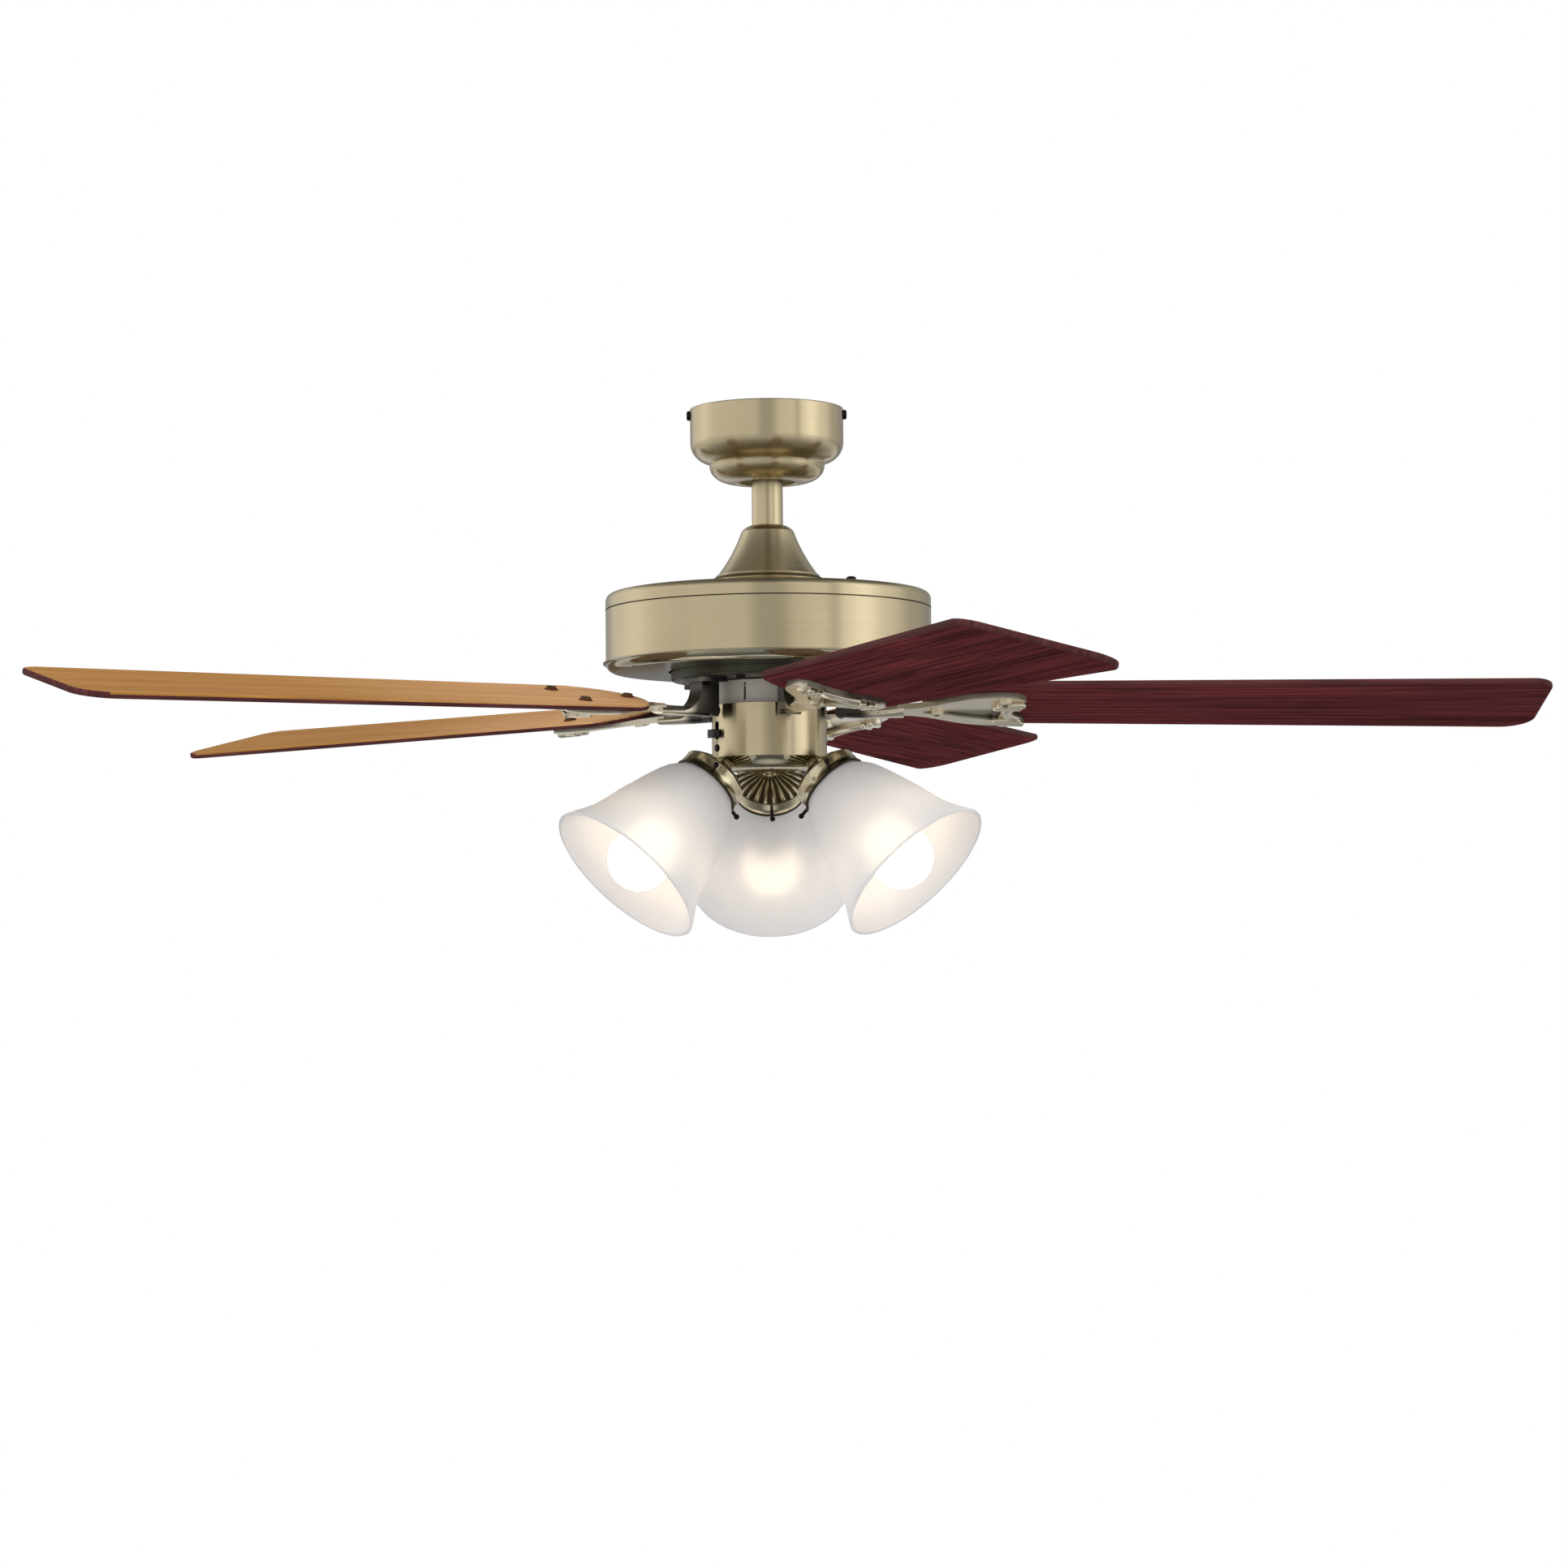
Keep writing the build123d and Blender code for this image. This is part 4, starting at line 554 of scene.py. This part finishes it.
def board_outline():
    """Outline of the board in its own plane, y negative on the higher edge, corners rounded."""

    def lead(reach):
        share = (reach - board_root) / (board_tip - board_root)
        return Vector((reach, -(board_lead + share * board_lead_growth)))

    def trail(reach):
        share = (reach - board_root) / (board_tip - board_root)
        return Vector((reach, board_trail + share * board_trail_growth))

    lead_root, lead_tip = lead(board_root + board_root_skew), lead(board_tip)
    trail_root, trail_tip = trail(board_root - board_root_skew), trail(board_tip)
    points = rounded_corner(lead_root, lead_tip, trail_tip, board_lead_radius,
                            board_corner_steps)
    points += rounded_corner(lead_tip, trail_tip, trail_root, board_trail_radius,
                             board_corner_steps)
    centre, radius = circle_through(trail_root, Vector(board_nose), lead_root)
    first = atan2(trail_root.y - centre.y, trail_root.x - centre.x) % (2 * pi)
    last = atan2(lead_root.y - centre.y, lead_root.x - centre.x) % (2 * pi)
    nose = []
    for step in range(board_nose_steps + 1):
        angle = first + (last - first) * step / board_nose_steps
        nose.append(Vector((centre.x + radius * cos(angle), centre.y + radius * sin(angle))))
    points += rounded_corner(points[-1], nose[0], nose[3], board_root_radius, 8)
    points += nose[4:-4]
    points += rounded_corner(nose[-4], nose[-1], points[0], board_root_radius, 8)
    return points


def inset(points, distance):
    """Outline moved inwards, point by point, square to its run."""
    moved = []
    count = len(points)
    for index in range(count):
        before, here, after = points[index - 1], points[index], points[(index + 1) % count]
        ahead = (after - before).normalized()
        moved.append(here + Vector((-ahead.y, ahead.x)) * distance)
    return moved


def make_blade(number):
    """Board with rounded edges: oak above, mahogany below and a brown edge between.

    The upper half of the edge is oak too along the lower long side and round the root.
    """
    outline = board_outline()
    rounding = [(board_arris * (1 - cos(radians(turn))),
                 board_half_thickness - board_arris * (1 - sin(radians(turn))))
                for turn in (90, 60, 30, 0)]
    levels = rounding + [(0.0, 0.0)] + [(depth, -height) for depth, height in reversed(rounding)]
    bm = bmesh.new()
    uv = bm.loops.layers.uv.new("grain")
    loops = []
    for depth, height in levels:
        line = inset(outline, depth)
        loops.append([bm.verts.new((point.x, point.y, height)) for point in line])
    for row in range(len(loops) - 1):
        upper, lower = loops[row], loops[row + 1]
        for index, corner in enumerate(outline):
            after = (index + 1) % len(outline)
            face = bm.faces.new((upper[index], lower[index], lower[after], upper[after]))
            oak_side = (row < len(rounding) - 1 and corner.x < oak_edge_reach
                        and (corner.y > oak_edge_side or corner.x < oak_edge_root))
            face.material_index = 0 if oak_side else 2
    top = bm.faces.new(loops[0])
    top.material_index = 0
    bottom = bm.faces.new(list(reversed(loops[-1])))
    bottom.material_index = 1
    bmesh.ops.recalc_face_normals(bm, faces=bm.faces)
    shift = veneer_step * number
    for face in bm.faces:
        across = veneer_slant * shift + veneer_turn * face.material_index
        for loop in face.loops:
            loop[uv].uv = (loop.vert.co.x + shift, loop.vert.co.y + across)
    bm.transform(blade_matrix(number))
    board = new_object(f"blade_board_{number + 1}", bm, [oak, mahogany, board_edge], smooth=False)
    for face in board.data.polygons:
        face.use_smooth = len(face.vertices) == 4
    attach(board, "rotor")
    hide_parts(f"blade_{number + 1}")


for number in range(blade_count):
    make_blade(number)


# ---- Canopy --------------------------------------------------------------------------------------
def make_canopy():
    """Two-tier canopy: straight skirt, round shoulder, narrow cove and a deep cup."""
    line = [(canopy_radius, height) for height in (0.0, -0.0010, -0.0150, -0.0280)]
    line += arc((canopy_radius - canopy_shoulder, -0.0285), canopy_shoulder, -0.0175,
                range(0, 76, 5))
    line += [(0.0514, -0.0460), (0.0503, -0.0465), (0.0497, -0.0473)]
    line += arc((0.0300, -0.0490), 0.0194, -0.0140, range(4, 91, 6))
    line += [(0.0270, -0.0630), (0.0240, -0.0630)]
    shell = lathe("canopy_shell", with_inside(line, -canopy_wall), turning_steps, [brass])
    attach(shell, "ceiling")
    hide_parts("canopy")


make_canopy()


# ---- Shade holders -------------------------------------------------------------------------------
def make_holder(number, azimuth):
    """Fluted dome, dark shoulder line, plain collar with a rolled rim, and the nipple behind."""
    bend = (holder_edge ** 2 + holder_dome ** 2) / (2 * holder_dome)

    def dome_height(radius):
        return bend - holder_dome - sqrt(bend ** 2 - radius ** 2)

    line = [(nipple_radius, nipple_end), (nipple_radius, -0.0132), (boss_radius, -0.0132)]
    dome_start = len(line)
    for step in range(dome_steps + 1):
        radius = boss_radius + dome_run * step / dome_steps
        line.append((radius, dome_height(radius)))
    shoulder = len(line)
    line += [(holder_edge + 0.0002, 0.0002)]
    line += [(holder_edge, height) for height in (0.0012, 0.0060, 0.0118)]
    bead = len(line)
    line += arc((holder_edge, rim_height), rim_radius, rim_radius, range(-60, 151, 30))
    rim = len(line)
    inside = holder_edge - holder_wall
    line += [(inside, rim_height), (inside, 0.0015)]
    line += [(radius - holder_wall, dome_height(radius - holder_wall) + holder_wall) for radius in
             (0.0299, 0.0250, 0.0200, 0.0150, 0.0100, 0.0060)]
    line += [(nipple_bore, -0.0108), (nipple_bore, nipple_end)]

    def fluted(radius, height, angle):
        """The grooves deepen and widen from the boss to the shoulder."""
        if not flute_start < radius < flute_end or height > dome_height(radius) + 0.0003:
            return radius, height
        swell = min(1.0, (radius - flute_start) / 0.006, (flute_end - radius) / 0.0015)
        hollow = 0.5 - 0.5 * cos(holder_flutes * angle)
        return radius, height + flute_depth * swell * hollow ** 0.7

    def finish(row, turn):
        """Plain brass is 0, the floor of a groove 1, and the shoulder line and the rim 2."""
        if bead - 1 <= row < rim - 1 or row == shoulder - 1:
            return 2
        groove = cos(2 * pi * holder_flutes * turn) < 0.35
        return int(dome_start + 2 <= row < shoulder - 1 and groove)

    holder = lathe(f"fluted_holder_{number}", line, holder_flutes * 10,
                   [holder_brass_and_highlight, groove_bronze_and_shade, bead_bronze_and_seam_shadow], lamp_matrix(azimuth), fluted, finish)
    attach(holder, "fan")
    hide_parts(f"shade_holder_{number}")


for number, azimuth in enumerate(lamp_azimuths):
    make_holder(number + 1, azimuth)


# ---- Blade irons ---------------------------------------------------------------------------------
def make_iron(number):
    """The cast iron, with its place in the blade's own frame kept as UV for the plating."""
    source = nodes[f"blade_iron_{number + 1}"]
    mesh = source.data.copy()
    mesh.name = f"cast_iron_{number + 1}"
    mesh.materials.clear()
    mesh.materials.append(nickel)
    local = blade_matrix(number).inverted() @ source.matrix_world
    places = [local @ vertex.co for vertex in mesh.vertices]
    across = mesh.uv_layers.new(name="place")
    along = mesh.uv_layers.new(name="reach")
    for loop in mesh.loops:
        place = places[loop.vertex_index]
        across.data[loop.index].uv = (place.y, place.z)
        along.data[loop.index].uv = (place.x, 0.0)
    iron = bpy.data.objects.new(f"cast_iron_{number + 1}", mesh)
    bpy.context.scene.collection.objects.link(iron)
    iron.matrix_world = source.matrix_world
    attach(iron, "rotor")
    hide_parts(f"blade_iron_{number + 1}")


for number in range(blade_count):
    make_iron(number)


# ---- Painted shadow in the seam under the lid ----------------------------------------------------
def make_seam_shadow(depth=0.0012, proud=0.0002, below=0.0003, above=0.0004):
    """Painted shadow: a dark ring in the gap between the lid's edge and the drum's wall."""
    lid_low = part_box("housing_top")[0].z
    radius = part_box("housing_wall")[1].x
    inner, outer = radius - depth, radius + proud
    low, high = lid_low - below, lid_low + above
    line = [(inner, low), (outer, low), (outer, high), (inner, high)]
    seam = lathe("lid_seam_shadow", line, turning_steps, [bead_bronze_and_seam_shadow])
    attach(seam, "fan")


make_seam_shadow()


# ---- Rings rolled into the coupling cover --------------------------------------------------------
def make_cover_ring(name, rise, thickness, material):
    """Thin ring half sunk in the cover's flare, at a rise above the cover's foot."""
    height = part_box("coupling_cover")[0].z + rise
    hit = nodes["coupling_cover"].ray_cast(Vector((0.2, 0, height)), Vector((-1, 0, 0)))[1]
    line = arc((hit.x, height), thickness, thickness, range(0, 360, 45))
    ring = lathe(name, line, turning_steps, [material])
    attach(ring, "fan")


bpy.context.view_layer.update()
# The upper ring's lighter brass is a painted highlight line, and the middle ring's dark bronze the
# painted shade of a groove.
make_cover_ring("cover_ring_upper_highlight", 0.0151, 0.0007, holder_brass_and_highlight)
make_cover_ring("cover_ring_groove_shade", 0.0128, 0.0009, groove_bronze_and_shade)
make_cover_ring("cover_ring_lower", 0.0106, 0.0006, brass)


# ---- Shades --------------------------------------------------------------------------------------
def make_shade(number, azimuth):
    """Bell of opal glass, from its neck in the holder to the flared rim."""
    outer = [(0.0282, 0.0012), (0.0282, 0.0075), (0.0282, 0.0130), (0.0387, 0.0280),
             (0.0510, 0.0650), (0.0595, 0.0954), (0.0720, 0.1204)]
    line = curve_points(outer, 10)
    # Faces of the inner wall take the darker copy of the glass, painted shade.
    shade = lathe(f"bell_shade_{number}", with_inside(line, glass_wall), glass_steps,
                  [glass, glass_inside_shaded], lamp_matrix(azimuth),
                  paint=lambda row, turn: int(row >= len(line)))
    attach(shade, "fan")
    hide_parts(f"shade_{number}")


for number, azimuth in enumerate(lamp_azimuths):
    make_shade(number + 1, azimuth)


# ---- Finishes of the CAD nodes -------------------------------------------------------------------
finishes = {
    brass: ["canopy", "downrod", "coupling_cover", "housing_top", "housing_wall",
            "switch_housing"],
    holder_brass_and_highlight: [f"shade_holder_{number}" for number in (1, 2, 3)],
    polished: ["housing_bottom", "light_pan"],
    black_iron: ["rotor_hub"],
    nickel: [f"blade_iron_{number}" for number in range(1, 6)],
    zinc: ["hanger_bracket", "ball_pin", "clevis_pin", "hairpin_clip", "motor_shaft",
           "bearing_inner_rings", "bearing_outer_rings", "light_stem", "lock_nuts"],
    neck_painted_light: ["neck"],
    dark_steel: ["canopy_screws", "set_screws", "housing_screws", "rotor_screws", "iron_screws",
                 "reverse_switch_screws", "thumb_screws"],
    bronze: ["blade_screws"],
    aluminium: ["motor_coupling", "rotor_cover_bottom", "rotor_cover_top"],
    laminations: ["stator_core", "rotor_cage"],
    copper: ["stator_windings"],
    black_plastic: ["hanger_ball", "reverse_switch_body", "reverse_switch_knob", "capacitor"],
    fibre: ["blade_washers"],
    porcelain: [f"lamp_socket_{number}" for number in (1, 2, 3)],
    bulb_light: [f"bulb_{number}" for number in (1, 2, 3)],
    mahogany: [f"blade_{number}" for number in range(1, 6)],
    glass: [f"shade_{number}" for number in (1, 2, 3)],
}
for material, names in finishes.items():
    for name in names:
        mesh = nodes[name].data
        mesh.materials.clear()
        mesh.materials.append(material)


# ---- Studio --------------------------------------------------------------------------------------
def make_floor(size=14.0, depth=2.4):
    """Pale paper far below the fan, lifted to white where the camera sees it."""
    bpy.ops.mesh.primitive_plane_add(size=size, location=(0, 0, -depth))
    floor = bpy.context.object
    floor.name = "floor"
    shader = Shader("floor_paper")
    cloud = shader.noise(shader.object_space(), 0.8, 2.0, 0.5)
    shader.set(Base_Color=shader.mix(cloud, (0.78, 0.78, 0.78), (0.82, 0.82, 0.82)),
               Roughness=0.9, Emission_Color=(1.0, 1.0, 1.0, 1.0),
               Emission_Strength=shader.math("MULTIPLY", shader.seen(), 0.62))
    floor.data.materials.append(shader.material)
    floor.visible_glossy = False


def make_world(lower_gain=0.45, gain=1.85, plain_level=0.80):
    """White to the camera and through glass; metal sees the soft boxes and gaps of a studio."""
    world = bpy.data.worlds.new("studio")
    bpy.context.scene.world = world
    world.use_nodes = True
    world.node_tree.nodes.clear()
    studio = Nodes(world.node_tree)

    def background(strength, level=0.8):
        made = studio.node("ShaderNodeBackground")
        made.inputs["Color"].default_value = (level, level, level, 1.0)
        studio.put(made.inputs["Strength"], strength)
        return made.outputs[0]

    x, y, z = studio.split(studio.node("ShaderNodeTexCoord").outputs["Generated"])
    turn = studio.math("ARCTAN2", x, studio.math("MULTIPLY", y, -1.0))
    around = studio.math("MULTIPLY_ADD", turn, 0.5 / pi, 0.5)
    height = studio.math("MULTIPLY_ADD", z, 0.5, 0.5)
    # Share of a turn, from behind the fan by the left, the front at 0.5 and the right.
    ring = studio.levels(around, (
        (0.00, 0.22), (0.06, 0.26), (0.12, 0.54), (0.20, 0.70), (0.27, 0.56), (0.45, 0.54),
        (0.485, 0.36), (0.515, 0.36), (0.56, 0.62), (0.61, 0.66), (0.633, 0.46), (0.655, 0.80),
        (0.695, 1.00), (0.76, 0.66), (0.84, 0.34), (0.93, 0.22), (1.00, 0.20)))
    # Share of the height, from straight down by the horizon at 0.5 to straight up.
    rise = studio.levels(height, ((0.0, 0.60), (0.40, 0.62), (0.45, 0.55), (0.5, 1.0),
                                  (0.72, 0.95), (0.86, 0.24), (1.0, 0.14)))
    # The ground is bright straight down and again just under the horizon.
    lower = studio.levels(height, ((0.0, 1.0), (0.008, 0.75), (0.035, 0.18), (0.15, 0.28),
                                   (0.27, 0.60), (0.36, 1.0), (0.45, 0.0), (1.0, 0.0)))
    upper = studio.levels(height, ((0.36, 0.0), (0.45, 1.0)))
    walls = studio.math("MULTIPLY", studio.math("MULTIPLY", ring, rise), upper)
    ground = studio.math("MULTIPLY", lower, lower_gain)
    glow = studio.math("MULTIPLY", studio.math("ADD", walls, ground), gain)
    glossy = studio.node("ShaderNodeLightPath").outputs["Is Glossy Ray"]
    lit = studio.mix_shaders(glossy, background(plain_level), background(glow))
    shown = studio.mix_shaders(studio.seen(), lit, background(1.0, 1.0))
    studio.link(shown, studio.node("ShaderNodeOutputWorld").inputs["Surface"])


def soft_box(name, place, size, power, target=(0, 0, -0.3)):
    data = bpy.data.lights.new(name, "AREA")
    data.shape = "RECTANGLE"
    data.size, data.size_y = size
    data.energy = power
    lamp = bpy.data.objects.new(name, data)
    bpy.context.scene.collection.objects.link(lamp)
    lamp.location = place
    aim = Vector(target) - Vector(place)
    lamp.rotation_euler = aim.to_track_quat("-Z", "Y").to_euler()
    lamp.visible_camera = False
    lamp.visible_glossy = False


def make_camera(distance=3.1144, drop=0.2300, pan=-0.223, tilt=92.973, roll=-0.52, lens=83.68):
    """Camera in front of the fan and a little below the blades, looking slightly up."""
    data = bpy.data.cameras.new("camera")
    data.sensor_width = 36.0
    data.lens = lens
    data.clip_end = 60.0
    camera = bpy.data.objects.new("camera", data)
    bpy.context.scene.collection.objects.link(camera)
    place = Matrix.Translation((0.0, -distance, blade_plane - drop))
    turn = Matrix.Rotation(radians(pan), 4, "Z") @ Matrix.Rotation(radians(tilt), 4, "X")
    camera.matrix_world = place @ turn @ Matrix.Rotation(radians(roll), 4, "Z")
    bpy.context.scene.camera = camera


make_floor()
make_world()
soft_box("overhead", (0.0, -0.3, 1.9), (2.4, 2.4), 19.0)
soft_box("key", (-1.6, -2.4, 1.2), (1.6, 1.2), 26.0)
soft_box("fill", (2.2, -1.6, -0.2), (1.4, 1.4), 10.0)
make_camera()
bpy.context.scene.view_settings.view_transform = "Standard"
